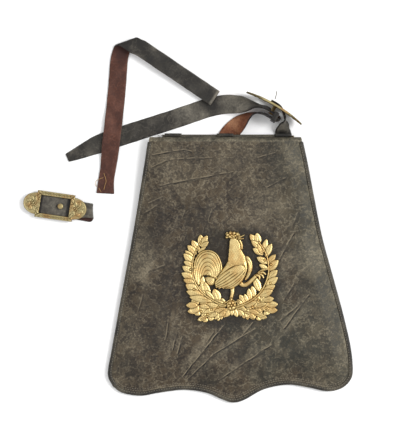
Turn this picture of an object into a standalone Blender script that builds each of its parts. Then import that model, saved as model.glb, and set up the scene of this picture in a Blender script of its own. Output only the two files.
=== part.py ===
# A cavalry sabretache lying on its back, face up, with its sling, two brass buckles and a loose sling.
# Sizes are in millimetres and become metres when a mesh is made. +Z is up, +Y is towards the bag's
# top edge, and the origin is on the floor under the middle of everything that lies on it.

import math
from collections import namedtuple

import bmesh
import bpy
from mathutils import Vector

MM = 0.001

# Edges that turn more than this, in degrees, are left crisp
SHARP_ANGLE = 34.0

# Fit between pieces that lie on each other, and between a strap and the floor
GAP = 0.3
FLOOR_CLEAR = 0.2

# Leather thicknesses
FLAP_THICK = 2.6
BACK_THICK = 2.5
POUCH_THICK = 1.6
BINDING_THICK = 1.0
STRAP_THICK = 1.8
TAB_THICK = 1.4

# Brass
RING_WIRE = 2.6
PLATE_THICK = 3.0

# The bag rests on its lower back and rises over the rings at the top
BACK_RISE = 7.6
RISE_START_Y = 18.0
RISE_END_Y = 82.0
BACK_TOP_Y = 111.1
FLAP_TOP_Y = 107.9

# The pouch under the flap
BACK_INSET = 15.0
POUCH_INSET = 19.0
POUCH_DEPTH = 7.0
MOUTH_DEPTH = 3.4
MOUTH_Y = 88.0
POUCH_BOTTOM_Y = -172.0
BACK_BOTTOM_Y = -184.0
BACK_CORNER = 16.0
POUCH_CORNER = 9.0

# The pocket's rounded shoulder: its reach, and steps in from the side and down from the top
POUCH_SHOULDER = 3.2
SHOULDER_STEPS = [(0.0, 0.75), (0.4, 0.2), (1.0, 0.0)]

# The back's top strip, above this height, is narrower at each end
HINGE_Y = 107.1
HINGE_TRIM = 4.0

# Heights at which the leather over the rings is cut into facets, the same in every layer
RISE_LEVELS = (82.0, 74.0, 66.0, 58.0, 50.0, 42.0, 34.0, 26.0, 18.0)

# The flap from the fold down: the outside of its bound edges, and how high its face is there
FlapRow = namedtuple("FlapRow", "y left right edge_z")
FLAP_ROWS = [
    FlapRow(101.4, -53.0, 149.0, 13.6),
    FlapRow(72.0, -57.5, 155.4, 12.4),
    FlapRow(25.5, -65.1, 164.4, 9.0),
    FlapRow(-24.2, -73.4, 174.6, 7.6),
    FlapRow(-76.4, -83.2, 188.8, 7.0),
    FlapRow(-123.6, -91.8, 201.6, 6.4),
    FlapRow(-169.0, -99.9, 211.8, 5.8),
    FlapRow(-201.0, -105.3, 214.2, 5.4),
    FlapRow(-214.0, -101.0, 208.4, 5.2),
]

# The hem from the left lobe to the right one, as named places on its wavy line
HemPoint = namedtuple("HemPoint", "place x y")
HEM = [
    HemPoint("left corner", -101.0, -214.0),
    HemPoint("left lobe side", -89.1, -225.0),
    HemPoint("left lobe", -64.0, -229.3),
    HemPoint("left rise", -39.6, -225.4),
    HemPoint("left scallop", -7.0, -221.6),
    HemPoint("left shoulder", 22.9, -225.4),
    HemPoint("tip, left side", 44.0, -234.0),
    HemPoint("tip", 57.6, -238.2),
    HemPoint("tip, right side", 72.0, -235.0),
    HemPoint("right shoulder", 98.5, -220.9),
    HemPoint("right scallop", 130.0, -214.9),
    HemPoint("right rise", 158.0, -218.6),
    HemPoint("right lobe", 182.0, -223.4),
    HemPoint("right lobe side", 198.6, -220.6),
    HemPoint("right corner", 208.4, -214.0),
]

# Creases pressed into the flap, each a groove from one end to the other
Crease = namedtuple("Crease", "x0 y0 x1 y1 depth width")
CREASES = [
    Crease(-47.0, 85.0, 6.0, 92.0, 0.7, 9.0),
    Crease(-37.0, 45.0, 33.0, 60.0, -0.5, 9.0),
    Crease(-12.0, -203.0, 40.0, -140.0, 0.9, 9.0),
    Crease(0.0, -208.0, 80.0, -146.0, 1.0, 10.0),
    Crease(40.0, -208.0, 112.0, -157.0, 0.8, 10.0),
    Crease(112.0, -157.0, 150.0, -106.0, 0.7, 9.0),
]

FLAP_COLUMNS = 26
FLAP_LINES = 18
WELT_OUT = 1.7
EDGE_RAMP = 26.0
HEM_RAMP = 44.0
FLAP_CLEAR = 1.3

# Rings and their tabs, by the middle of each
RingPlace = namedtuple("RingPlace", "side x")
RINGS = [RingPlace("left", -20.0), RingPlace("centre", 47.6), RingPlace("right", 123.4)]
RING_INNER = 26.0
RING_BAR_Y = 109.4
RING_BOW_Y = 88.5
RING_BAR_Z = 5.6
RING_BOW_Z = 3.5
TAB_WIDTH = 22.0

# A buckle: a rectangular frame with a round lobe at each end and a stud in its window
FRAME_LONG = 49.0
FRAME_WIDE = 35.0
WINDOW_LONG = 39.0
WINDOW_WIDE = 23.6
LOBE_RADIUS = 12.6
LOBE_CENTRE = 28.2
ROSETTE_RADIUS = 8.2
ROSETTE_RISE = 1.6
RIM_RISE = 0.9
RIM_WIDE = 2.2
STUD_RADIUS = 2.4
STUD_HEAD_RADIUS = 3.7
STUD_HEAD_THICK = 1.6

# The standing buckle: its middle, and the way its length runs
STANDING_X = 110.8
STANDING_Y = 144.6
STANDING_TURN = -30.4

# The loose buckle
LOOSE_X = -174.2
LOOSE_Y = 18.3
LOOSE_TURN = -8.3
LOOSE_CHAPE_END = 49.0
LOOSE_CHAPE_WIDE = 20.6
LOOSE_CHAPE_AIR = 1.3
LOOSE_CHAPE_BULGE = 0.45
LOOSE_STUD_ALONG = 7.4
LOOSE_STUD_LONG = 7.4

# Straps: the middle line, the turn of the face away from lying flat, and the width
StrapRow = namedtuple("StrapRow", "x y z roll width")

# The long sling from its tapered end to the standing buckle
SLING_TAIL = [
    StrapRow(-158.4, 81.3, 1.1, 0.0, 11.0),
    StrapRow(-146.2, 86.4, 1.1, 0.0, 15.6),
    StrapRow(-130.3, 93.7, 1.1, 0.0, 20.4),
    StrapRow(-115.0, 100.1, 1.1, 0.0, 24.2),
    StrapRow(-87.7, 109.6, 1.1, 0.0, 24.8),
    StrapRow(-53.9, 120.6, 1.1, 0.0, 24.8),
    StrapRow(-21.4, 131.0, 1.1, 0.0, 24.8),
    StrapRow(7.2, 140.6, 1.1, 0.0, 24.6),
    StrapRow(26.7, 147.0, 1.4, 0.0, 24.6),
    StrapRow(47.5, 151.0, 3.6, 0.0, 24.6),
    StrapRow(64.4, 150.6, 8.8, -14.0, 24.4),
    StrapRow(76.1, 149.6, 12.6, -44.0, 24.2),
    StrapRow(85.2, 148.0, 15.6, -68.0, 24.0),
    StrapRow(94.3, 144.9, 17.0, -86.0, 23.6),
]

# In the standing buckle's own frame: along its length, away from its face, and up
BuckleRow = namedtuple("BuckleRow", "along out z roll width")
SLING_THROUGH = [
    BuckleRow(-7.0, 5.6, 17.4, -90.0, 23.4),
    BuckleRow(0.0, 5.5, 17.4, -90.0, 23.4),
    BuckleRow(7.0, 5.5, 17.4, -90.0, 23.4),
    BuckleRow(11.5, 6.0, 17.2, -90.0, 23.4),
    BuckleRow(14.0, 8.6, 17.0, -90.0, 23.4),
    BuckleRow(11.6, 11.4, 16.8, -90.0, 23.4),
    BuckleRow(6.5, 12.2, 16.6, -90.0, 23.4),
]

# The sling's short leg, flesh side up, from the buckle down to the middle ring
SLING_LEG = [
    StrapRow(103.6, 134.6, 15.6, -90.0, 23.2),
    StrapRow(98.0, 137.6, 14.6, -90.0, 23.0),
    StrapRow(91.0, 139.0, 13.6, -92.0, 22.8),
    StrapRow(83.6, 138.2, 12.6, -100.0, 22.6),
    StrapRow(76.1, 134.4, 11.6, -117.0, 22.4),
    StrapRow(69.0, 128.8, 9.0, -140.0, 22.4),
    StrapRow(62.0, 122.2, 4.2, -165.0, 22.6),
    StrapRow(56.2, 116.6, 1.2, -180.0, 22.8),
    StrapRow(51.6, 111.0, 1.1, -180.0, 23.0),
    StrapRow(48.4, 104.6, 1.1, -180.0, 23.4),
    StrapRow(47.6, 98.0, 1.1, -180.0, 23.6),
]

# The right ring's strap, from the ring up to the standing buckle
CHAPE_RISE = [
    StrapRow(123.4, 98.0, 1.1, 0.0, 21.0),
    StrapRow(123.4, 105.0, 1.1, 0.0, 21.0),
    StrapRow(123.6, 113.6, 1.6, 2.5, 21.0),
    StrapRow(124.8, 120.6, 8.2, 41.0, 21.0),
    StrapRow(126.4, 125.6, 13.0, 66.0, 21.0),
]
CHAPE_THROUGH = [
    BuckleRow(19.6, 4.2, 16.8, 88.0, 21.0),
    BuckleRow(16.2, 0.2, 17.4, 90.0, 21.0),
    BuckleRow(10.8, -4.0, 17.6, 90.0, 21.0),
    BuckleRow(4.8, -6.6, 17.6, 90.0, 21.0),
    BuckleRow(-2.4, -6.4, 17.6, 90.0, 21.0),
    BuckleRow(-9.0, -3.8, 17.5, 90.0, 21.0),
    BuckleRow(-15.0, -2.8, 17.5, 90.0, 21.0),
    BuckleRow(-22.0, -2.7, 17.5, 90.0, 21.0),
]

# The leather loop round the sling's two runs beside the buckle
KEEPER_ALONG = 3.6
KEEPER_LONG = 6.4
KEEPER_THICK = 1.2

# The loose sling: its upper arm, the soft fold, and its lower arm with the broken end
LOOSE_UPPER = [
    StrapRow(34.6, 158.8, 6.2, 0.0, 21.6),
    StrapRow(8.0, 176.6, 7.6, 0.0, 21.8),
    StrapRow(-20.0, 195.4, 9.2, 0.0, 21.8),
    StrapRow(-50.0, 215.6, 10.2, 0.0, 21.8),
    StrapRow(-63.0, 224.3, 10.3, 0.0, 21.8),
]
FOLD_START_X = -74.5
FOLD_START_Y = 230.3
FOLD_TOP_Z = 11.2
FOLD_RADIUS = 5.5
FOLD_LINE_TURN = 200.0
FOLD_STEPS = 15
LOOSE_LOWER = [
    StrapRow(-91.0, 206.0, 1.1, 180.0, 22.8),
    StrapRow(-93.0, 178.0, 1.1, 180.0, 23.0),
    StrapRow(-95.4, 152.0, 1.4, 180.0, 23.0),
    StrapRow(-97.4, 132.0, 3.7, 180.0, 23.0),
    StrapRow(-98.7, 120.0, 4.1, 180.0, 23.2),
    StrapRow(-100.9, 103.0, 4.1, 180.0, 23.4),
    StrapRow(-102.4, 89.0, 3.7, 180.0, 22.8),
    StrapRow(-105.0, 68.0, 1.4, 180.0, 20.4),
    StrapRow(-107.6, 52.0, 1.1, 180.0, 20.6),
    StrapRow(-108.8, 34.8, 1.1, 180.0, 23.2),
]

# The badge: its middle, and how high its forms stand above its flat back
BADGE_X = 54.4
BADGE_Y = -72.4
BADGE_CLEAR = 0.35
STEM_RISE = 2.0
LEAF_RISE = 2.2
BODY_RISE = 4.6
NECK_RISE = 4.2
COMB_RISE = 3.2
WING_RISE = 5.8

# The size and the height of a raised form at each step from its back to its top
LEAF_STEPS = [(1.0, 0.0), (0.5, 1.0)]
BIRD_STEPS = [(1.0, 0.0), (1.0, 0.24), (0.74, 0.78), (0.36, 1.0)]

# The two branches from the knot at the bottom to their tips, about the badge's middle
LEFT_STEM = [(1.4, -39.7), (-13.7, -36.4), (-30.9, -26.7), (-42.8, -14.0), (-49.0, 2.4), (-49.0, 17.0),
             (-45.0, 31.5), (-39.6, 42.3)]
RIGHT_STEM = [(7.9, -40.7), (25.1, -33.2), (38.1, -22.4), (45.6, -9.5), (49.6, 5.6), (48.4, 22.0),
              (43.4, 35.4), (37.0, 45.0)]

# Leaves in pairs along a branch: the first pair's share of its length, the step, and the number
PAIR_START = 0.2
PAIR_STEP = 0.1
PAIRS = 8
LEAF_LONG = 13.2
LEAF_TAPER = 0.28
LEAF_WIDE = 5.6
LEAF_SPREAD = 37.0

# Broad leaves round the knot: base, length, width and direction in degrees from +X
BroadLeaf = namedtuple("BroadLeaf", "x y long wide turn")
BROAD_LEAVES = [
    BroadLeaf(-8.0, -40.0, 21.0, 9.0, 184.0),
    BroadLeaf(-26.0, -38.0, 31.0, 12.5, 181.0),
    BroadLeaf(-22.0, -44.0, 22.0, 9.5, 206.0),
    BroadLeaf(-8.0, -42.0, 20.0, 8.5, 213.0),
    BroadLeaf(-32.0, -28.0, 26.0, 11.0, 172.0),
    BroadLeaf(14.0, -40.0, 22.0, 9.5, 350.0),
    BroadLeaf(34.0, -38.0, 27.0, 12.5, 5.0),
    BroadLeaf(26.0, -45.0, 24.0, 9.5, 338.0),
    BroadLeaf(9.0, -42.0, 20.0, 8.5, 330.0),
    BroadLeaf(40.0, -30.0, 21.0, 10.0, 12.0),
]

# The bird's outlines about the badge's middle
BODY_OUTLINE = [(-4.0, 23.0), (-3.0, 16.0), (-9.0, 9.5), (-16.0, 1.5), (-22.0, -6.0), (-21.5, -15.5),
                (-12.0, -17.0), (1.5, -16.5), (9.0, -13.5), (17.0, -5.0), (22.0, 4.0), (23.0, 13.0),
                (19.0, 22.5), (15.0, 29.0), (10.0, 30.0)]
NECK_OUTLINE = [(-2.6, 21.0), (-2.0, 36.0), (0.5, 45.6), (7.0, 49.0), (12.8, 46.5), (13.0, 40.0),
                (13.6, 33.0), (16.5, 26.0), (8.0, 19.0)]
COMB_OUTLINE = [(-5.2, 51.0), (-4.4, 57.0), (0.5, 57.6), (4.0, 58.0), (8.0, 57.0), (12.0, 55.2),
                (13.4, 51.0), (8.0, 47.4), (-0.5, 46.6)]
WING_OUTLINE = [(8.0, 15.0), (3.0, 12.0), (-6.0, 4.0), (-14.0, -4.5), (-19.0, -13.0), (-10.0, -12.0),
                (0.0, -7.5), (8.0, -1.0), (13.0, 6.0), (13.5, 12.0)]

# Curved tapering bars: points, width at the start and at the end, and rise
BAR_TOP = 0.36
Bar = namedtuple("Bar", "points wide end_wide rise")
TAIL_BARS = [
    Bar([(-16.5, -3.0), (-11.6, 11.0), (-15.5, 25.0), (-29.0, 32.6), (-41.5, 29.0), (-47.0, 17.0),
         (-46.5, 7.0)], 5.0, 2.4, 3.4),
    Bar([(-17.0, -3.0), (-15.6, 10.0), (-20.0, 21.5), (-30.5, 27.0), (-39.0, 22.5), (-42.5, 12.0),
         (-41.5, 5.0)], 5.0, 2.2, 3.0),
    Bar([(-18.0, -3.0), (-19.6, 9.0), (-25.0, 17.0), (-32.0, 20.0), (-37.0, 13.5), (-38.0, 6.0)],
        4.8, 2.0, 3.2),
    Bar([(-19.0, -3.5), (-22.0, 5.0), (-27.5, 11.5), (-32.5, 12.0), (-35.0, 6.0), (-34.5, 1.0)],
        4.6, 1.8, 2.8),
    Bar([(-20.0, -4.0), (-23.4, 0.0), (-28.0, 2.6), (-31.0, -3.0), (-28.5, -11.5), (-22.0, -12.0)],
        5.0, 2.6, 3.0),
]
OTHER_BARS = [
    Bar([(18.0, 24.0), (26.5, 19.5), (29.4, 11.0), (26.0, 1.5), (19.5, -4.5)], 4.0, 1.6, 2.8),
    Bar([(1.2, -13.0), (0.4, -22.0), (-0.6, -32.4)], 3.4, 2.6, 2.8),
    Bar([(0.4, -29.4), (-3.6, -33.5), (-7.6, -35.6)], 2.4, 1.4, 2.1),
    Bar([(-0.8, -29.7), (3.2, -33.8), (6.9, -35.7)], 2.4, 1.4, 2.3),
    Bar([(10.0, -9.0), (16.5, -13.0), (25.0, -7.0), (33.0, 1.0), (41.0, 6.0)], 4.8, 2.6, 3.2),
    Bar([(31.0, -1.0), (35.0, -6.0), (33.5, -11.0)], 2.6, 1.6, 2.4),
    Bar([(12.6, 49.5), (16.0, 51.5), (19.4, 53.6)], 3.0, 1.0, 3.0),
    Bar([(12.6, 47.5), (15.5, 48.0), (18.0, 48.6)], 2.4, 1.0, 2.6),
    Bar([(12.6, 45.0), (15.4, 40.0), (15.6, 35.0)], 3.4, 2.2, 2.8),
    Bar([(10.0, -42.0), (-12.0, -46.5), (-30.0, -53.0), (-36.5, -56.0)], 2.8, 2.2, 2.4),
    Bar([(0.0, -41.4), (18.0, -46.8), (34.0, -51.6), (44.0, -54.5)], 2.8, 2.2, 2.4),
]

# The round knot where the branches cross
KNOT_X = 2.2
KNOT_Y = -38.6
KNOT_RADIUS = 5.6
KNOT_RISE = 3.4
KNOT_SIDES = 8


def clear_scene():
    """Empty the scene before the first piece."""
    for thing in list(bpy.data.objects):
        bpy.data.objects.remove(thing, do_unlink=True)


def make_material(name, colour, roughness, metallic=0.0):
    """A Principled material with one colour."""
    material = bpy.data.materials.new(name)
    material.use_nodes = True
    shader = material.node_tree.nodes["Principled BSDF"]
    shader.inputs["Base Color"].default_value = (*colour, 1.0)
    shader.inputs["Roughness"].default_value = roughness
    shader.inputs["Metallic"].default_value = metallic
    return material


def mesh_object(name, corners, faces, material):
    """A named object from corners in millimetres and faces by corner number, turned to face out."""
    mesh = bpy.data.meshes.new(name)
    mesh.from_pydata([Vector(corner) * MM for corner in corners], [], faces)
    shape = bmesh.new()
    shape.from_mesh(mesh)
    bmesh.ops.recalc_face_normals(shape, faces=shape.faces)
    shape.to_mesh(mesh)
    shape.free()
    thing = bpy.data.objects.new(name, mesh)
    thing.data.materials.append(material)
    bpy.context.scene.collection.objects.link(thing)
    return thing


def smoothstep(value):
    """0 below 0, 1 above 1, and an S curve between."""
    value = min(max(value, 0.0), 1.0)
    return value * value * (3.0 - 2.0 * value)


def blend_rows(rows, y, column):
    """A column's value at height y, straight between the rows above and below it."""
    if y >= rows[0].y:
        return getattr(rows[0], column)
    for upper, lower in zip(rows, rows[1:]):
        if y >= lower.y:
            share = (upper.y - y) / (upper.y - lower.y)
            return getattr(upper, column) * (1.0 - share) + getattr(lower, column) * share
    return getattr(rows[-1], column)


def spline_value(before, start, end, after, share):
    """One number on the smooth curve from start to end."""
    return 0.5 * (
        2.0 * start
        + (end - before) * share
        + (2.0 * before - 5.0 * start + 4.0 * end - after) * share ** 2
        + (3.0 * start - before - 3.0 * end + after) * share ** 3
    )


def smooth_through(points, steps):
    """A smooth curve through points, with steps pieces between each two of them."""
    curve = []
    last = len(points) - 1
    for index in range(last):
        near = [points[max(index - 1, 0)], points[index], points[index + 1], points[min(index + 2, last)]]
        for step in range(steps):
            curve.append([spline_value(*values, step / steps) for values in zip(*near)])
    curve.append(list(points[last]))
    return curve


def points_at(points, shares):
    """Flat points on a line, each at its share of the line's length."""
    reach = [0.0]
    for start, end in zip(points, points[1:]):
        reach.append(reach[-1] + math.dist(start[:2], end[:2]))
    result = []
    index = 0
    for wanted in shares:
        want = reach[-1] * wanted
        while index < len(reach) - 2 and reach[index + 1] < want:
            index += 1
        share = (want - reach[index]) / (reach[index + 1] - reach[index])
        start, end = points[index], points[index + 1]
        result.append((start[0] + (end[0] - start[0]) * share, start[1] + (end[1] - start[1]) * share))
    return result


def shell_from_grid(name, grid, thickness, material, lowest=None):
    """A closed sheet of leather: the grid is its outer face, and the inner face lies under it.

    Where lowest is given, it names for a height y how low the inner face may reach.
    """
    lines = len(grid)
    columns = len(grid[0])
    corners = [Vector(point) for line in grid for point in line]
    for row in range(lines):
        for column in range(columns):
            across = Vector(grid[row][min(column + 1, columns - 1)]) - Vector(grid[row][max(column - 1, 0)])
            down = Vector(grid[min(row + 1, lines - 1)][column]) - Vector(grid[max(row - 1, 0)][column])
            normal = down.cross(across).normalized()
            inner = Vector(grid[row][column]) - normal * thickness
            if lowest:
                inner.z = max(inner.z, lowest(inner.y))
            corners.append(inner)
    under = lines * columns
    faces = []
    for row in range(lines - 1):
        for column in range(columns - 1):
            a = row * columns + column
            b = a + 1
            c = a + columns + 1
            d = a + columns
            faces.append((a, b, c, d))
            faces.append((a + under, d + under, c + under, b + under))
    rim = [column for column in range(columns)]
    rim += [row * columns + columns - 1 for row in range(1, lines)]
    rim += [(lines - 1) * columns + column for column in range(columns - 2, -1, -1)]
    rim += [row * columns for row in range(lines - 2, 0, -1)]
    for start, end in zip(rim, rim[1:] + rim[:1]):
        faces.append((start, end, end + under, start + under))
    return mesh_object(name, corners, faces, material)


def loft_rings(name, rings, material, closed=False):
    """A solid through rings of corners that match one another; a closed one joins its ends."""
    size = len(rings[0])
    corners = [corner for ring in rings for corner in ring]
    faces = []
    count = len(rings)
    for index in range(count if closed else count - 1):
        first = index * size
        second = ((index + 1) % count) * size
        for side in range(size):
            other = (side + 1) % size
            faces.append((first + side, first + other, second + other, second + side))
    if not closed:
        faces.append(tuple(range(size)))
        faces.append(tuple((count - 1) * size + side for side in range(size)))
    return mesh_object(name, corners, faces, material)


def strap_rings(frames, thickness):
    """Cross-sections of a strap from its middle points, directions across it and widths."""
    rings = []
    last = len(frames) - 1
    for index, (middle, across, width) in enumerate(frames):
        along = (frames[min(index + 1, last)][0] - frames[max(index - 1, 0)][0]).normalized()
        side = across * (width / 2.0)
        up = along.cross(across).normalized() * (thickness / 2.0)
        rings.append([middle - side - up, middle + side - up, middle + side + up, middle - side + up])
    return rings


def frames_from_rows(rows, steps):
    """Strap frames along a smooth line through rows; a roll of 0 lies flat with the grain side up.

    A strap is lifted where its lower edge would sink into the floor.
    """
    line = smooth_through([tuple(row) for row in rows], steps)
    frames = []
    last = len(line) - 1
    for index, (x, y, z, roll, width) in enumerate(line):
        start = line[max(index - 1, 0)]
        end = line[min(index + 1, last)]
        level = Vector((start[1] - end[1], end[0] - start[0], 0.0)).normalized()
        turn = math.radians(roll)
        across = level * math.cos(turn) + Vector((0.0, 0.0, math.sin(turn)))
        lowest = FLOOR_CLEAR + abs(math.sin(turn)) * width / 2.0 + abs(math.cos(turn)) * STRAP_THICK / 2.0
        frames.append((Vector((x, y, max(z, lowest))), across, width))
    return frames


def tube_rings(middles, radius, sides):
    """Round cross-sections along a closed line of points that lies close to level."""
    rings = []
    count = len(middles)
    for index, middle in enumerate(middles):
        along = (middles[(index + 1) % count] - middles[index - 1]).normalized()
        out = along.cross(Vector((0.0, 0.0, 1.0))).normalized()
        up = out.cross(along)
        ring = []
        for side in range(sides):
            angle = 2.0 * math.pi * side / sides
            ring.append(middle + out * (radius * math.cos(angle)) + up * (radius * math.sin(angle)))
        rings.append(ring)
    return rings


def boolean(target, other, operation):
    """Cut another shape out of a piece, or join it on, and remove the other shape."""
    modifier = target.modifiers.new(operation.title(), "BOOLEAN")
    modifier.operation = operation
    modifier.solver = "EXACT"
    modifier.use_self = operation == "UNION"
    modifier.object = other
    depsgraph = bpy.context.evaluated_depsgraph_get()
    result = bpy.data.meshes.new_from_object(target.evaluated_get(depsgraph))
    target.modifiers.clear()
    target.data = result
    bpy.data.objects.remove(other, do_unlink=True)


def back_rise(y):
    """How far the back is lifted over the rings at height y."""
    return BACK_RISE * smoothstep((y - RISE_START_Y) / (RISE_END_Y - RISE_START_Y))


def flap_side(y, inset):
    """Left and right of the bound flap at height y, pulled in by an inset."""
    return blend_rows(FLAP_ROWS, y, "left") + inset, blend_rows(FLAP_ROWS, y, "right") - inset


def corner_pull(above, radius):
    """How far a rounded lower corner lies in from the side, at a height above the bottom."""
    rest = radius - min(above, radius)
    return radius - math.sqrt(radius ** 2 - rest ** 2)


def make_back_panel(material):
    """The stiff back: flat where the bag lies, raised over the rings, with a step beside the hinge."""
    levels = [BACK_TOP_Y, 109.0, HINGE_Y + 0.1, HINGE_Y - 0.1, 96.0, *RISE_LEVELS, -60.0, -130.0]
    levels += [BACK_BOTTOM_Y + BACK_CORNER * share for share in (1.0, 0.53, 0.17, 0.0)]
    columns = 6
    grid = []
    for y in levels:
        left, right = flap_side(y, BACK_INSET)
        pull = HINGE_TRIM if y > HINGE_Y else corner_pull(y - BACK_BOTTOM_Y, BACK_CORNER)
        left += pull
        right -= pull
        z = back_rise(y) + BACK_THICK
        grid.append([(left + (right - left) * column / columns, y, z) for column in range(columns + 1)])
    return shell_from_grid("back_panel", grid, BACK_THICK, material)


def seat_z(y):
    """The height at which leather lies on the back panel."""
    return back_rise(y) + BACK_THICK + GAP


def pouch_depth(y):
    """Depth of the pocket, shallow at its mouth and full lower down."""
    return MOUTH_DEPTH + (POUCH_DEPTH - MOUTH_DEPTH) * smoothstep((MOUTH_Y - y) / 60.0)


def pouch_block(name, wall, material):
    """A closed block of the pocket's form; a wall makes it the hollow, run past the open sides."""
    bottom = POUCH_BOTTOM_Y + wall
    past = 12.0 if wall else 0.0
    levels = [MOUTH_Y + past, *RISE_LEVELS, -40.0, -100.0]
    levels += [bottom + step for step in (POUCH_CORNER, 3.0, 0.0)]
    rings = []
    for y in levels:
        left, right = flap_side(min(y, MOUTH_Y), POUCH_INSET + wall)
        pull = corner_pull(y - bottom, POUCH_CORNER)
        left += pull
        right -= pull
        low = seat_z(y) - (4.0 if wall else 0.0)
        high = seat_z(y) + pouch_depth(y) - wall - 0.25 * pull
        ring = [(left, y, low), (right, y, low)]
        ring += [(right - POUCH_SHOULDER * step_in, y, high - POUCH_SHOULDER * step_down)
                 for step_in, step_down in SHOULDER_STEPS]
        ring += [(left + POUCH_SHOULDER * step_in, y, high - POUCH_SHOULDER * step_down)
                 for step_in, step_down in reversed(SHOULDER_STEPS)]
        rings.append(ring)
    return loft_rings(name, rings, material)


def make_pouch_front(material):
    """The pocket: thin leather that stands on the back panel round three sides, open at the top."""
    pouch = pouch_block("pouch_front", 0.0, material)
    hollow = pouch_block("hollow", POUCH_THICK, material)
    boolean(pouch, hollow, "DIFFERENCE")
    return pouch


def crease_depth(x, y):
    """How deep the creases press the flap at a point."""
    total = 0.0
    for crease in CREASES:
        run = Vector((crease.x1 - crease.x0, crease.y1 - crease.y0))
        offset = Vector((x - crease.x0, y - crease.y0))
        share = min(max(offset.dot(run) / run.length_squared, 0.0), 1.0)
        distance = (offset - run * share).length
        fade = math.sin(math.pi * min(max(share, 0.06), 0.94))
        total += crease.depth * fade * math.exp(-((distance / crease.width) ** 2))
    return total


def crown_height(y):
    """How high the flap's face lies over the pouch."""
    return seat_z(y) + pouch_depth(y) + FLAP_CLEAR + FLAP_THICK


def flap_grid():
    """Points of the flap's outer face, from the sewn end behind the top fold down to the hem."""
    down = [row / FLAP_LINES for row in range(FLAP_LINES + 1)]
    over = [column / FLAP_COLUMNS for column in range(FLAP_COLUMNS + 1)]
    over = [share - 0.06 * math.sin(2.0 * math.pi * share) for share in over]
    left_side = points_at(smooth_through([(row.left + WELT_OUT, row.y) for row in FLAP_ROWS], 6), down)
    right_side = points_at(smooth_through([(row.right - WELT_OUT, row.y) for row in FLAP_ROWS], 6), down)
    hem = points_at(smooth_through([(point.x, point.y) for point in HEM], 6), over)
    length = FLAP_ROWS[0].y - FLAP_ROWS[-1].y
    grid = []
    for t, left_point, right_point in zip(down, left_side, right_side):
        line = []
        for u, (hem_x, hem_y) in zip(over, hem):
            hem_point = (hem_x + WELT_OUT * (1.0 - 2.0 * u), hem_y + WELT_OUT)
            point = []
            for axis in (0, 1):
                sides = (1.0 - u) * left_point[axis] + u * right_point[axis]
                straight = (1.0 - u) * left_side[-1][axis] + u * right_side[-1][axis]
                point.append(sides + t * (hem_point[axis] - straight))
            x, y = point
            from_side = min(u, 1.0 - u) * (right_point[0] - left_point[0])
            from_hem = (1.0 - t) * length
            edge_z = blend_rows(FLAP_ROWS, y, "edge_z")
            dome = smoothstep(from_side / EDGE_RAMP) * smoothstep(from_hem / HEM_RAMP)
            z = edge_z + (crown_height(y) - edge_z) * dome
            z -= crease_depth(x, y) * smoothstep(from_side / 20.0) * smoothstep(from_hem / 20.0)
            line.append((x, y, z))
        grid.append(line)
    fold_out = FLAP_TOP_Y - FLAP_ROWS[0].y
    middle = (grid[0][0][0] + grid[0][-1][0]) / 2.0
    fold = []
    for angle in (90.0, 68.0, 45.0, 22.0):
        turn = math.radians(angle)
        squeeze = 1.0 - 0.012 * (1.0 - math.cos(turn))
        line = []
        for x, y, z in grid[0]:
            drop = (z - seat_z(y)) * (1.0 - math.cos(turn))
            line.append((middle + (x - middle) * squeeze, y + fold_out * math.sin(turn), z - drop))
        fold.append(line)
    return fold + grid


def make_flap(material):
    """The face of the bag: one sheet from its sewn end over the top fold to the wavy hem."""

    def lowest(y):
        return seat_z(y) if y > MOUTH_Y else 0.0

    return shell_from_grid("flap", flap_grid(), FLAP_THICK, material, lowest)


def flap_edge():
    """The flap's edge down the left side, along the hem and up the right side, with outward frames."""
    grid = flap_grid()[4:]
    last_line = len(grid) - 1
    last_column = len(grid[0]) - 1
    places = [(row, 0, row, 1) for row in range(last_line)]
    places += [(last_line, 0, last_line - 1, 1)]
    places += [(last_line, column, last_line - 1, column) for column in range(1, last_column)]
    places += [(last_line, last_column, last_line - 1, last_column - 1)]
    places += [(row, last_column, row, last_column - 1) for row in range(last_line - 1, -1, -1)]
    rims = [Vector(grid[row][column]) for row, column, _, _ in places]
    inners = [Vector(grid[row][column]) for _, _, row, column in places]
    edge = []
    for index, (rim, inner) in enumerate(zip(rims, inners)):
        along = (rims[min(index + 1, len(rims) - 1)] - rims[max(index - 1, 0)]).normalized()
        out = rim - inner
        out = (out - along * out.dot(along)).normalized()
        normal = along.cross(out)
        if normal.z < 0.0:
            normal = -normal
        edge.append((rim, out, normal))
    return edge


def make_edge_binding(material):
    """The welt: a thin strip folded round the flap's edge down both sides and along the hem."""
    leg = 3.4
    slack = 0.45
    outer = slack + BINDING_THICK
    low_in = -FLAP_THICK - slack
    low_out = low_in - BINDING_THICK
    middle = -FLAP_THICK / 2.0
    profile = [
        (-leg, slack), (slack, slack), (slack, low_in), (-leg, low_in),
        (-leg, low_out), (0.2, low_out), (outer + 0.3, middle), (0.2, outer), (-leg, outer),
    ]
    rings = []
    for rim, out, normal in flap_edge():
        rings.append([rim + out * outward + normal * upward for outward, upward in profile])
    return loft_rings("edge_binding", rings, material)


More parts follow.
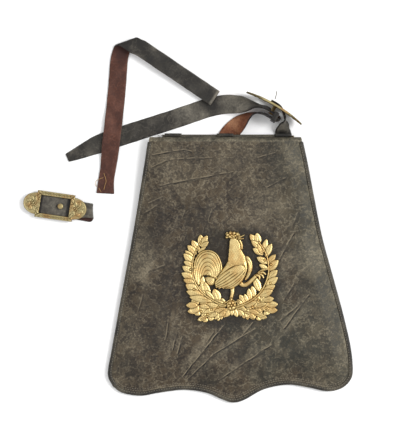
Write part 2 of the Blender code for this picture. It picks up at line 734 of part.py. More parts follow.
def make_ring(place, material):
    """A brass ring, a rounded rectangle of wire, lying under the bag's top edge."""
    wire = RING_WIRE / 2.0
    half = RING_INNER / 2.0 + wire
    corner = 4.0
    middle_y = (RING_BAR_Y + RING_BOW_Y) / 2.0
    half_y = (RING_BAR_Y - RING_BOW_Y) / 2.0
    middles = []
    for quarter, (sign_x, sign_y) in enumerate([(1, 1), (-1, 1), (-1, -1), (1, -1)]):
        for angle in (10.0, 45.0, 80.0):
            turn = math.radians(angle + 90.0 * quarter)
            x = sign_x * (half - corner) + corner * math.cos(turn)
            y = sign_y * (half_y - corner) + corner * math.sin(turn)
            share = (y + half_y) / (2.0 * half_y)
            z = RING_BOW_Z + (RING_BAR_Z - RING_BOW_Z) * share
            middles.append(Vector((place.x + x, middle_y + y, z)))
    return loft_rings("ring_" + place.side, tube_rings(middles, wire, 6), material, closed=True)


def make_ring_tab(place, material):
    """A leather tab folded over the back's top edge and round the ring's bar."""
    top_z = BACK_RISE + BACK_THICK + GAP + TAB_THICK / 2.0
    under_z = BACK_RISE - GAP - TAB_THICK / 2.0
    reach = RING_WIRE / 2.0 + GAP + TAB_THICK / 2.0
    edge_y = BACK_TOP_Y + GAP + TAB_THICK / 2.0
    line = [(FLAP_TOP_Y + 0.5, top_z), (edge_y - 0.8, top_z), (edge_y, top_z - 0.8)]
    line.append((edge_y, RING_BAR_Z + 0.6))
    for angle in (-20.0, -55.0, -90.0, -125.0, -160.0):
        turn = math.radians(angle)
        line.append((RING_BAR_Y + reach * math.cos(turn), RING_BAR_Z + reach * math.sin(turn)))
    line += [(RING_BAR_Y - reach - 0.6, RING_BAR_Z + 0.4), (RING_BAR_Y - reach - 2.4, under_z)]
    line.append((RING_BAR_Y - reach - 5.2, under_z))
    middles = [Vector((place.x, y, z)) for y, z in line]
    frames = [(middle, Vector((1.0, 0.0, 0.0)), TAB_WIDTH) for middle in middles]
    return loft_rings("ring_tab_" + place.side, strap_rings(frames, TAB_THICK), material)


def ring_wrap(ring_x, end_y, width):
    """Frames of a strap's end: it lies over the ring's bow, turns round it and heads away under it."""
    reach = RING_WIRE / 2.0 + GAP + STRAP_THICK / 2.0
    places = [(y, RING_BOW_Z + reach) for y in (end_y, (end_y + RING_BOW_Y) / 2.0)]
    for angle in range(90, 271, 30):
        turn = math.radians(angle)
        places.append((RING_BOW_Y + reach * math.cos(turn), RING_BOW_Z + reach * math.sin(turn)))
    return [(Vector((ring_x, y, z)), Vector((-1.0, 0.0, 0.0)), width) for y, z in places]


def buckle_to_row(row):
    """A row given beside the standing buckle, as a row on the floor plan."""
    turn = math.radians(STANDING_TURN)
    x = STANDING_X + row.along * math.cos(turn) + row.out * math.sin(turn)
    y = STANDING_Y + row.along * math.sin(turn) - row.out * math.cos(turn)
    return StrapRow(x, y, row.z, row.roll, row.width)


def stud_cutter(middle, direction, radius, length):
    """A round bar for cutting a stud hole."""
    side = direction.cross(Vector((0.0, 0.0, 1.0)))
    if side.length < 0.1:
        side = Vector((1.0, 0.0, 0.0))
    side.normalize()
    other = direction.cross(side).normalized()
    rings = []
    for end in (-0.5, 0.5):
        ring = []
        for step in range(12):
            angle = 2.0 * math.pi * step / 12
            ring.append(middle + direction * (end * length) + side * (radius * math.cos(angle))
                        + other * (radius * math.sin(angle)))
        rings.append(ring)
    cutter = loft_rings("hole_cutter", rings, bpy.data.materials["brass"])
    cutter.hide_render = True
    cutter.display_type = "WIRE"
    return cutter


def make_sling_strap(material):
    """The long sling: flat tail, edge-on run past the buckle, turn, and leg to the middle ring."""
    ring_x = RINGS[1].x
    rows = SLING_TAIL + [buckle_to_row(row) for row in SLING_THROUGH] + SLING_LEG
    frames = frames_from_rows(rows, 2)
    frames += list(reversed(ring_wrap(ring_x, 99.0, SLING_LEG[-1].width)))
    strap = loft_rings("sling_strap", strap_rings(frames, STRAP_THICK), material)
    hole = buckle_to_row(BuckleRow(0.0, 5.5, 17.4, 0.0, 0.0))
    turn = math.radians(STANDING_TURN)
    face = Vector((math.sin(turn), -math.cos(turn), 0.0))
    cutter = stud_cutter(Vector((hole.x, hole.y, hole.z)), face, STUD_RADIUS + 0.7, 6.0)
    boolean(strap, cutter, "DIFFERENCE")
    return strap


def make_buckle_chape(material):
    """The right ring's strap: round the ring, up, and through the window of the standing buckle."""
    frames = ring_wrap(RINGS[2].x, 99.0, CHAPE_RISE[0].width)
    rows = CHAPE_RISE + [buckle_to_row(row) for row in CHAPE_THROUGH]
    frames += frames_from_rows(rows, 3)
    return loft_rings("buckle_chape", strap_rings(frames, STRAP_THICK), material)


def make_buckle_keeper(material):
    """A square leather loop round the sling's two runs."""
    room = STRAP_THICK / 2.0 + GAP + 0.3
    near, far = SLING_THROUGH[1].out - room, SLING_THROUGH[-1].out + room + 0.3
    half = SLING_THROUGH[0].width / 2.0 + 0.6
    low, high = SLING_THROUGH[-1].z - half - 0.6, SLING_THROUGH[0].z + half
    inner = [(near, low), (far, low), (far, high), (near, high)]
    t = KEEPER_THICK
    outer = [(near - t, low - t), (far + t, low - t), (far + t, high + t), (near - t, high + t)]
    corners = []
    for along in (KEEPER_ALONG, KEEPER_ALONG + KEEPER_LONG):
        for out, z in outer + inner:
            place = buckle_to_row(BuckleRow(along, out, z, 0.0, 0.0))
            corners.append((place.x, place.y, place.z))
    faces = []
    for side in range(4):
        other = (side + 1) % 4
        faces.append((side, other, other + 8, side + 8))
        faces.append((side + 4, other + 4, other + 12, side + 12))
        faces.append((side, other, other + 4, side + 4))
        faces.append((side + 8, other + 8, other + 12, side + 12))
    return mesh_object("buckle_keeper", corners, faces, material)


def buckle_outline():
    """The buckle's outline: the frame's corners and the two round lobes, going round once."""
    half_long = FRAME_LONG / 2.0
    half_wide = FRAME_WIDE / 2.0
    notch = math.acos((half_long - LOBE_CENTRE) / LOBE_RADIUS)
    points = []
    for side in (1.0, -1.0):
        points.append((side * half_long, -side * half_wide))
        for step in range(11):
            angle = -notch + 2.0 * notch * step / 10
            x = LOBE_CENTRE + LOBE_RADIUS * math.cos(angle)
            points.append((side * x, side * LOBE_RADIUS * math.sin(angle)))
        points.append((side * half_long, side * half_wide))
    return points


def prism_with_window(outline, window, low, high, name, material):
    """A flat plate with a window through it, from two outlines."""
    shape = bmesh.new()
    edges = []
    for loop in (outline, window):
        corners = [shape.verts.new(Vector((x, y, low)) * MM) for x, y in loop]
        for start, end in zip(corners, corners[1:] + corners[:1]):
            edges.append(shape.edges.new((start, end)))
    filled = bmesh.ops.triangle_fill(shape, edges=edges, use_beauty=True)
    faces = [item for item in filled["geom"] if isinstance(item, bmesh.types.BMFace)]
    raised = bmesh.ops.extrude_face_region(shape, geom=faces)
    moved = [item for item in raised["geom"] if isinstance(item, bmesh.types.BMVert)]
    bmesh.ops.translate(shape, verts=moved, vec=(0.0, 0.0, (high - low) * MM))
    bmesh.ops.recalc_face_normals(shape, faces=shape.faces)
    mesh = bpy.data.meshes.new(name)
    shape.to_mesh(mesh)
    shape.free()
    thing = bpy.data.objects.new(name, mesh)
    thing.data.materials.append(material)
    bpy.context.scene.collection.objects.link(thing)
    return thing


def rectangle(half_x, half_y):
    """Corners of an upright rectangle about the middle."""
    return [(-half_x, -half_y), (half_x, -half_y), (half_x, half_y), (-half_x, half_y)]


def make_dome(middle_x, radius, low, rise, material):
    """A low round boss with a stepped crown, for a lobe's rosette."""
    rings = []
    for share, height in ((1.0, 0.0), (0.9, 0.55), (0.62, 0.62), (0.5, 1.0), (0.2, 1.1)):
        ring = []
        for step in range(12):
            angle = 2.0 * math.pi * (step + 0.5) / 12
            x = middle_x + radius * share * math.cos(angle)
            ring.append(Vector((x, radius * share * math.sin(angle), low + height * rise)))
        rings.append(ring)
    return loft_rings("rosette", rings, material)


def make_buckle_frame(name, material):
    """A cast buckle face up about its middle, its back at z = 0: plate, raised rims and rosettes."""
    window = rectangle(WINDOW_LONG / 2.0, WINDOW_WIDE / 2.0)
    plate = prism_with_window(buckle_outline(), window, 0.0, PLATE_THICK - RIM_RISE, name, material)
    rim_outer = rectangle(FRAME_LONG / 2.0 - 0.4, FRAME_WIDE / 2.0 - 0.4)
    rim_inner = rectangle(WINDOW_LONG / 2.0 + RIM_WIDE - 0.6, WINDOW_WIDE / 2.0 + 1.4)
    sunk = PLATE_THICK - RIM_RISE - 0.4
    rim = prism_with_window(rim_outer, rim_inner, sunk, PLATE_THICK, "rim", material)
    boolean(plate, rim, "UNION")
    for side in (-1.0, 1.0):
        rosette = make_dome(side * (LOBE_CENTRE + 1.6), ROSETTE_RADIUS, sunk, ROSETTE_RISE + 0.4, material)
        boolean(plate, rosette, "UNION")
    return plate


def make_stud(name, length, material):
    """A stud along +Z from z = 0: a round shank and a wider head."""
    head = length - STUD_HEAD_THICK
    steps = [(STUD_RADIUS, 0.0), (STUD_RADIUS, head), (STUD_HEAD_RADIUS, head + 0.1),
             (STUD_HEAD_RADIUS, head + 0.9), (STUD_HEAD_RADIUS * 0.55, length)]
    rings = []
    for radius, z in steps:
        ring = []
        for step in range(12):
            angle = 2.0 * math.pi * step / 12
            ring.append(Vector((radius * math.cos(angle), radius * math.sin(angle), z)))
        rings.append(ring)
    return loft_rings(name, rings, material)


def place_standing(thing, along, out, z):
    """Stand a piece that was made face up on its long edge, facing out from the standing buckle."""
    turn = math.radians(STANDING_TURN)
    spot = buckle_to_row(BuckleRow(along, out, z, 0.0, 0.0))
    thing.location = Vector((spot.x, spot.y, spot.z)) * MM
    thing.rotation_euler = (math.radians(90.0), 0.0, turn)


def make_standing_buckle(brass, leather):
    """The standing buckle with its stud, strap and keeper."""
    frame = make_buckle_frame("buckle_frame", brass)
    place_standing(frame, 0.0, -PLATE_THICK / 2.0, FRAME_WIDE / 2.0)
    stud = make_stud("buckle_stud", 14.0, brass)
    place_standing(stud, 0.0, -5.2, 17.4)
    make_buckle_chape(leather)
    make_buckle_keeper(leather)


def loose_point(along, across, z):
    """A point beside the loose buckle: along its length, across it, and up."""
    turn = math.radians(LOOSE_TURN)
    x = LOOSE_X + along * math.cos(turn) - across * math.sin(turn)
    y = LOOSE_Y + along * math.sin(turn) + across * math.cos(turn)
    return Vector((x, y, z))


def make_loose_buckle(brass, leather):
    """The loose buckle face up, with the folded stub of strap under it and a stud in its window."""
    low = FLOOR_CLEAR + STRAP_THICK / 2.0
    high = low + STRAP_THICK + LOOSE_CHAPE_AIR
    bulge = (high - low) / 2.0 + LOOSE_CHAPE_BULGE
    turn_in = LOOSE_CHAPE_END - 2.2
    turn_z = (low + high) / 2.0 + 0.3
    line = [(along, high) for along in (-16.0, 0.0, 20.0, 42.0)] + [(LOOSE_CHAPE_END - 3.4, high + 0.5)]
    for angle in (60.0, 30.0, 0.0, -30.0, -60.0):
        turn = math.radians(angle)
        line.append((turn_in + 2.2 * math.cos(turn), turn_z + bulge * math.sin(turn)))
    line += [(along, low) for along in (LOOSE_CHAPE_END - 3.6, 30.0, 12.0, -10.0)]
    level = loose_point(0.0, 1.0, 0.0) - loose_point(0.0, 0.0, 0.0)
    frames = [(loose_point(along, 0.0, z), level, LOOSE_CHAPE_WIDE) for along, z in line]
    chape = loft_rings("loose_buckle_chape", strap_rings(frames, STRAP_THICK), leather)
    hole = loose_point(LOOSE_STUD_ALONG - 0.8, 0.0, high)
    cutter = stud_cutter(hole, Vector((0.0, 0.0, 1.0)), STUD_RADIUS + 1.1, 3.0)
    boolean(chape, cutter, "DIFFERENCE")
    stud = make_stud("loose_stud", LOOSE_STUD_LONG, brass)
    stud.location = loose_point(LOOSE_STUD_ALONG, 0.6, low + STRAP_THICK / 2.0 + GAP) * MM
    stud.rotation_euler = (0.0, 0.0, math.radians(LOOSE_TURN))
    frame = make_buckle_frame("loose_buckle_frame", brass)
    frame.location = loose_point(0.0, 0.0, high + STRAP_THICK / 2.0 + GAP) * MM
    frame.rotation_euler = (0.0, 0.0, math.radians(LOOSE_TURN))


def strap_lines(frames, thickness, columns):
    """Lines of points across a strap's face, one line for each frame."""
    lines = []
    last = len(frames) - 1
    for index, (middle, across, width) in enumerate(frames):
        along = (frames[min(index + 1, last)][0] - frames[max(index - 1, 0)][0]).normalized()
        face = along.cross(across).normalized()
        start = middle + face * (thickness / 2.0) - across * (width / 2.0)
        lines.append([tuple(start + across * (width * column / columns)) for column in range(columns + 1)])
    return lines


def fold_lines(heading, width, columns):
    """Lines of points across the loose sling where it rolls over a slanting fold."""
    crease = Vector((math.cos(math.radians(FOLD_LINE_TURN)), math.sin(math.radians(FOLD_LINE_TURN)), 0.0))
    left = Vector((0.0, 0.0, 1.0)).cross(heading)
    forward = (heading - crease * heading.dot(crease)).normalized()
    axis = Vector((FOLD_START_X, FOLD_START_Y, FOLD_TOP_Z - FOLD_RADIUS))
    half_turn = math.pi * FOLD_RADIUS
    slant = abs(left.dot(forward)) * width / 2.0
    pace = heading.dot(forward)
    first = -slant / pace
    final = (half_turn + slant) / pace
    lines = []
    for step in range(FOLD_STEPS + 1):
        run = first + (final - first) * step / FOLD_STEPS
        line = []
        for column in range(columns + 1):
            flat = heading * run + left * (width * (column / columns - 0.5))
            ahead = flat.dot(forward)
            turn = min(max(ahead / FOLD_RADIUS, 0.0), math.pi)
            beyond = min(ahead, 0.0) - max(ahead - half_turn, 0.0)
            rolled = forward * (beyond + FOLD_RADIUS * math.sin(turn))
            raised = Vector((0.0, 0.0, FOLD_RADIUS * math.cos(turn)))
            line.append(tuple(axis + crease * flat.dot(crease) + rolled + raised))
        lines.append(line)
    return lines


def make_loose_strap(material):
    """The loose sling: an arm, a soft slanting fold, and a second arm under the first."""
    columns = 4
    upper = frames_from_rows(LOOSE_UPPER, 2)
    start, end = LOOSE_UPPER[-2:]
    heading = Vector((end.x - start.x, end.y - start.y, 0.0)).normalized()
    fold = fold_lines(heading, end.width, columns)
    last_middle = (Vector(fold[-1][0]) + Vector(fold[-1][-1])) / 2.0
    grain_z = last_middle.z + STRAP_THICK / 2.0
    lower = [StrapRow(last_middle.x, last_middle.y, grain_z, 180.0, end.width)] + LOOSE_LOWER
    grid = strap_lines(upper, STRAP_THICK, columns)[:-1] + fold
    grid += strap_lines(frames_from_rows(lower, 2), STRAP_THICK, columns)[1:]
    return shell_from_grid("loose_strap", grid, STRAP_THICK, material)


def boss(outline, rise, steps):
    """Corner rings of a raised form: each step is a share of the outline's size and of its rise."""
    middle_x = sum(x for x, _ in outline) / len(outline)
    middle_y = sum(y for _, y in outline) / len(outline)
    return [[(middle_x + (x - middle_x) * size, middle_y + (y - middle_y) * size, rise * height)
             for x, y in outline] for size, height in steps]


def leaf_outline(x, y, long, wide, turn):
    """A pointed leaf from its base at x, y, running towards turn degrees."""
    angle = math.radians(turn)
    places = [(0.0, 0.0), (0.3, 0.42), (0.64, 0.42), (1.0, 0.0), (0.64, -0.42), (0.3, -0.42)]
    outline = []
    for share, side in places:
        ahead, out = share * long, side * wide
        outline.append((x + ahead * math.cos(angle) - out * math.sin(angle),
                        y + ahead * math.sin(angle) + out * math.cos(angle)))
    return outline


def lobed_outline(leaf):
    """A broad leaf with three lobes a side, from its base to its tip."""
    angle = math.radians(leaf.turn)
    half = [(0.0, 0.1), (0.2, 0.44), (0.34, 0.27), (0.5, 0.5), (0.64, 0.29), (0.78, 0.4), (1.0, 0.05)]
    places = half + [(share, -side) for share, side in reversed(half)]
    outline = []
    for share, side in places:
        ahead, out = share * leaf.long, side * leaf.wide
        outline.append((leaf.x + ahead * math.cos(angle) - out * math.sin(angle),
                        leaf.y + ahead * math.sin(angle) + out * math.cos(angle)))
    return outline


def bar_rings(points, wide, end_wide, rise, steps=2):
    """Corner rings of a curved bar with a flat back and a narrow top, tapering to its end."""
    line = smooth_through(points, steps)
    rings = []
    last = len(line) - 1
    for index, (x, y) in enumerate(line):
        start, end = line[max(index - 1, 0)], line[min(index + 1, last)]
        length = math.dist(start, end)
        side_x, side_y = (start[1] - end[1]) / length, (end[0] - start[0]) / length
        half = (wide + (end_wide - wide) * index / last) / 2.0
        profile = [(-half, 0.0), (half, 0.0), (half * BAR_TOP, rise), (-half * BAR_TOP, rise)]
        rings.append([(x + side_x * out, y + side_y * out, z) for out, z in profile])
    return rings


def branch_pieces(stem, lean):
    """A branch's stem and its paired leaves; lean sets the first leaf's side."""
    pieces = [bar_rings(stem, 2.8, 1.6, STEM_RISE)]
    line = smooth_through(stem, 8)
    for pair in range(PAIRS):
        for side in (1.0, -1.0):
            share = PAIR_START + PAIR_STEP * (pair + 0.3 * (side * lean > 0.0))
            (x, y), (ahead_x, ahead_y) = points_at(line, (min(share, 0.97), min(share + 0.02, 1.0)))
            heading = math.degrees(math.atan2(ahead_y - y, ahead_x - x))
            size = 1.0 - LEAF_TAPER * pair / PAIRS
            turn = heading + side * LEAF_SPREAD
            outline = leaf_outline(x, y, LEAF_LONG * size, LEAF_WIDE * size, turn)
            pieces.append(boss(outline, LEAF_RISE, LEAF_STEPS))
    (tip_x, tip_y), (end_x, end_y) = points_at(line, (0.95, 1.0))
    heading = math.degrees(math.atan2(end_y - tip_y, end_x - tip_x))
    end_leaf = leaf_outline(tip_x, tip_y, LEAF_LONG * 0.9, LEAF_WIDE, heading)
    pieces.append(boss(end_leaf, LEAF_RISE, LEAF_STEPS))
    return pieces


def make_badge(material):
    """The badge: one cast and pierced piece, a crowing cock between two leafy branches."""
    pieces = branch_pieces(LEFT_STEM, 1.0) + branch_pieces(RIGHT_STEM, -1.0)
    pieces += [boss(lobed_outline(leaf), LEAF_RISE, LEAF_STEPS) for leaf in BROAD_LEAVES]
    pieces += [bar_rings(*bar) for bar in TAIL_BARS + OTHER_BARS]
    pieces += [boss(BODY_OUTLINE, BODY_RISE, BIRD_STEPS), boss(NECK_OUTLINE, NECK_RISE, BIRD_STEPS)]
    pieces += [boss(COMB_OUTLINE, COMB_RISE, BIRD_STEPS), boss(WING_OUTLINE, WING_RISE, BIRD_STEPS)]
    corners = []
    faces = []
    for rings in pieces:
        first = len(corners)
        size = len(rings[0])
        corners += [corner for ring in rings for corner in ring]
        for index in range(len(rings) - 1):
            low = first + index * size
            for side in range(size):
                other = (side + 1) % size
                faces.append((low + side, low + other, low + size + other, low + size + side))
        faces.append(tuple(range(first, first + size)))
        top = first + (len(rings) - 1) * size
        faces.append(tuple(top + side for side in range(size)))
    badge = mesh_object("badge", corners, faces, material)
    turns = [2.0 * math.pi * step / KNOT_SIDES for step in range(KNOT_SIDES)]
    outline = [(KNOT_X + KNOT_RADIUS * math.cos(turn), KNOT_Y + KNOT_RADIUS * math.sin(turn))
               for turn in turns]
    boolean(badge, loft_rings("knot", boss(outline, KNOT_RISE, BIRD_STEPS), material), "UNION")
    badge.location = Vector((BADGE_X, BADGE_Y, crown_height(BADGE_Y) + BADGE_CLEAR)) * MM
    return badge


def build():
    """Make every piece."""
    clear_scene()
    face_leather = make_material("face_leather", (0.09, 0.08, 0.065), 0.7)
    edge_leather = make_material("edge_leather", (0.05, 0.045, 0.035), 0.6)
    strap_leather = make_material("strap_leather", (0.13, 0.125, 0.11), 0.65)
    flesh_leather = make_material("flesh_leather", (0.2, 0.09, 0.06), 0.75)
    brass = make_material("brass", (0.55, 0.46, 0.25), 0.35, 1.0)
    gilt = make_material("gilt", (0.75, 0.6, 0.3), 0.3, 1.0)
    make_back_panel(edge_leather)
    make_pouch_front(edge_leather)
    make_flap(face_leather)
    make_edge_binding(edge_leather)
    make_badge(gilt)
    for place in RINGS:
        make_ring(place, brass)
        make_ring_tab(place, edge_leather)
    make_sling_strap(strap_leather)
    make_standing_buckle(brass, strap_leather)
    make_loose_buckle(brass, strap_leather)
    make_loose_strap(flesh_leather)
    for thing in bpy.data.objects:
        thing.data.shade_smooth()
        thing.data.set_sharp_from_angle(angle=math.radians(SHARP_ANGLE))


build()
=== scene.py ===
# %% [markdown]
# # A worn cavalry sabretache, seen from above
#
# A sabretache is the flat leather satchel that hung from a cavalryman's belt on long slings. This one
# lies on its back on a white table, with its gilt badge up. One sling still holds its buckle, and the
# other has broken off and lies above the bag. We build it piece by piece around its frame, a plain
# model that says where every piece lies.

# %% Open the frame
import math
from collections import namedtuple

import bpy
import numpy as np
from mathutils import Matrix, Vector, noise
from mathutils.bvhtree import BVHTree


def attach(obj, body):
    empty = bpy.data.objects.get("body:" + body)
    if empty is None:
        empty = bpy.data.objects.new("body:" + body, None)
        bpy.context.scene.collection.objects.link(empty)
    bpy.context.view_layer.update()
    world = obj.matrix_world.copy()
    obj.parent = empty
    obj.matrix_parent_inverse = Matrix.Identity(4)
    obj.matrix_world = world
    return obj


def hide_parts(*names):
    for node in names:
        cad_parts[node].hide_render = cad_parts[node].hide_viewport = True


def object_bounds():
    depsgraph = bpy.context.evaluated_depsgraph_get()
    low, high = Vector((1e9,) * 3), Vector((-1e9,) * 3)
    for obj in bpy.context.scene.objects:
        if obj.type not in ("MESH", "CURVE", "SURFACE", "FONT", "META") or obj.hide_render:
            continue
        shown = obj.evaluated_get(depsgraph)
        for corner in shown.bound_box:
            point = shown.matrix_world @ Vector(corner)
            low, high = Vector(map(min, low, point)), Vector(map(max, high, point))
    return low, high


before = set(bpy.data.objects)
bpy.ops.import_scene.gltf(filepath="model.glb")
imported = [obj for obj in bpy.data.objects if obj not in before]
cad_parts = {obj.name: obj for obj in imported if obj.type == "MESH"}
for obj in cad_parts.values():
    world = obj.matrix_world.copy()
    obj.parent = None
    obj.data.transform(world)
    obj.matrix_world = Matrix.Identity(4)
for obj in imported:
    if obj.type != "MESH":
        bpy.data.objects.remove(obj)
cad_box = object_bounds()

frame_sides = [round(high - low, 4) for low, high in zip(*cad_box)]
print("frame:", len(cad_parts), "pieces, sides", frame_sides, "m")

# %% [markdown]
# ## The camera
#
# The bag was photographed from straight above, so the camera hangs over the middle of the picture and
# looks down. From two metres away the straps near the top and the hem at the bottom keep their sizes.
# The lens follows from that distance and from the height of floor that the picture takes in.

# %% Hang the camera
MM = 0.001
VIEW_MIDDLE = (21.5, -5.2)
VIEW_HEIGHT = 582.4
CAMERA_HEIGHT = 2100.0
FACE_HEIGHT = 12.0
SENSOR = 36.0

scene = bpy.context.scene
lens = bpy.data.cameras.new("camera")
lens.sensor_fit = "VERTICAL"
lens.sensor_height = SENSOR
lens.lens = SENSOR * (CAMERA_HEIGHT - FACE_HEIGHT) / VIEW_HEIGHT
camera = bpy.data.objects.new("camera", lens)
camera.location = Vector((*VIEW_MIDDLE, CAMERA_HEIGHT)) * MM
scene.collection.objects.link(camera)
scene.camera = camera
print("lens:", round(lens.lens, 1), "mm")

# %% [markdown]
# ## Colour and nodes
#
# A hex colour is what a screen shows, and light is reckoned in linear values, so one function turns
# one into the other. A second one starts a finish. A third adds any node to it, with its settings and
# its links, and hands back what comes out of that node. Every finish below is made with these.

# %% Helpers for every finish
scene.view_settings.view_transform = "Standard"


def linear(code):
    """A screen colour such as #a08050 as linear red, green and blue, with full alpha."""
    shown = [int(code[place:place + 2], 16) / 255.0 for place in (1, 3, 5)]
    return (*((c / 12.92) if c <= 0.04045 else ((c + 0.055) / 1.055) ** 2.4 for c in shown), 1.0)


def new_finish(name):
    """A new material, its node tree and its shader."""
    finish = bpy.data.materials.new(name)
    finish.use_nodes = True
    return finish, finish.node_tree, finish.node_tree.nodes["Principled BSDF"]


def feed(tree, node, inputs):
    """Give a node its inputs by name or number: a socket is linked, and a value is set."""
    for name, value in inputs.items():
        if isinstance(value, bpy.types.NodeSocket):
            tree.links.new(value, node.inputs[name])
        else:
            node.inputs[name].default_value = value


def add(tree, kind, inputs, gives=0, **settings):
    """Add a node with its own settings and its inputs, and hand back one of its outputs."""
    node = tree.nodes.new("ShaderNode" + kind)
    for name, value in settings.items():
        setattr(node, name, value)
    feed(tree, node, inputs)
    return node.outputs[gives]


print("worn leather in linear light:", [round(c, 3) for c in linear("#5d554a")[:3]])

# %% [markdown]
# ## Table and light
#
# The table is plain white and so brightly lit that it shows as pure white, which is how a saleroom
# photographs a lot. One big soft lamp stands to the upper right, so shadows fall a little to the left
# and down, and a weaker one fills from the left. The white room does the rest.

# %% Lay the table and hang the lamps
TABLE_HALF = 4.0
ROOM_LIGHT = 0.8
Lamp = namedtuple("Lamp", "name place side watts")
LAMPS = [
    Lamp("key", (2.1, 0.5, 2.3), 1.4, 84.0),
    Lamp("fill", (-2.2, -0.6, 2.2), 2.2, 20.0),
]

corners = [(x * TABLE_HALF, y * TABLE_HALF, 0.0) for x, y in ((-1, -1), (1, -1), (1, 1), (-1, 1))]
floor_mesh = bpy.data.meshes.new("table_top")
floor_mesh.from_pydata(corners, [], [(0, 1, 2, 3)])
floor = bpy.data.objects.new("table_top", floor_mesh)
scene.collection.objects.link(floor)
paper, paper_tree, paper_shader = new_finish("white_table")
feed(paper_tree, paper_shader,
     {"Base Color": linear("#f4f4f4"), "Roughness": 0.9, "Specular IOR Level": 0.2})
floor_mesh.materials.append(paper)

scene.world = bpy.data.worlds.new("room")
scene.world.use_nodes = True
feed(scene.world.node_tree, scene.world.node_tree.nodes["Background"],
     {"Color": (1.0, 1.0, 1.0, 1.0), "Strength": ROOM_LIGHT})
for lamp in LAMPS:
    light = bpy.data.lights.new(lamp.name, "AREA")
    light.size = lamp.side
    light.energy = lamp.watts
    hung = bpy.data.objects.new(lamp.name, light)
    hung.location = lamp.place
    hung.rotation_euler = Vector(lamp.place).to_track_quat("Z", "Y").to_euler()
    scene.collection.objects.link(hung)
print("lamps:", [lamp.name for lamp in LAMPS])

# %% [markdown]
# ## Leather, in its finishes
#
# The flap is thick cowhide that was blackened and waxed. The wax has worn off, so the face is a dull
# grey-brown, mottled, with light scuffs where it rubbed and dark patches where polish is left. Leather
# is a dielectric with an IOR of 1.4 to 1.5, and worn leather is rough. The straps are thinner bridle
# leather: grey-black on the grain side, and tan or red-brown on the flesh side, with dark cut edges.
# The grain of old cowhide is pebbled at about 1 to 3 mm, which is one or two dots of this picture, so
# the finer noise is drawn at that size. Marks on each mesh steer the wear and some painted light: the
# rub mark is high where the leather stands proud or turns over an edge, and also where a highlight is
# painted; the soot mark where the old black is left, and also where shade is painted; and the cool
# mark where the brown has gone greenish grey.

# %% Choose the hides
LEATHER_IOR = 1.4
Hide = namedtuple("Hide", "name tones rough patch_mm fleck_mm grit_mm mottle bump")
# The five tones are the old black, the even ground, the cool ground, the pale mottle and the scuffs
HIDES = [
    Hide("worn_black_cowhide", "#0f0b07 #30261a #2a2b22 #4b4030 #a0967f", 0.7, 40.0, 9.0, 2.6, 1.65, 0.5),
    Hide("dark_welt_leather", "#0a0908 #1b1813 #1b1a16 #332f26 #736b59", 0.6, 18.0, 5.0, 2.1, 1.3, 0.3),
    Hide("grey_strap_grain", "#12100e #231f1b #23221e #37332c #857f72", 0.72, 24.0, 8.0, 2.4, 1.1, 0.3),
    Hide("tan_strap_flesh", "#42200f #6d3d25 #764127 #814f33 #a87e5e", 0.82, 20.0, 7.0, 2.2, 1.1, 0.4),
    Hide("red_brown_strap_flesh", "#2e1813 #43261d #4a2a22 #523125 #80584a", 0.85, 24.0, 8.0, 2.4, 1.1, 0.4),
    Hide("dark_cut_edge", "#0d0a08 #191411 #191411 #2c2722 #857d6f", 0.8, 9.0, 4.0, 1.9, 1.2, 0.3),
]
print("hides:", len(HIDES))

# %% [markdown]
# A photo of leather could be laid on, but its light and its creases would be those of another bag. So
# the tone is mixed from noise of three sizes, which turns from old black to pale mottle. Over it come
# cracks and brush streaks, then the scuff tone where the rub mark is high, for wear and for painted
# highlights, and the old black where the soot mark is high, for old polish and for painted shade.

# %% Make the leathers
FLECK_SHARE = 0.4
GRIT_SHARE = 0.36
EVEN_SHARE = 0.33
COOL_EVEN = 0.3
CRACK_FADE = 0.032
CRACK_LIGHT = 0.22
# A brush leaves streaks finer than a millimetre, and they are drawn 1.3 mm wide so that they show
STREAK_LIGHT = 0.12
STREAK_LONG = 26.0
STREAK_WIDE = 1.3
STREAK_TURN = math.radians(50.0)
RUB_ON_PALE = 0.7
BLACK_COVER = 0.8


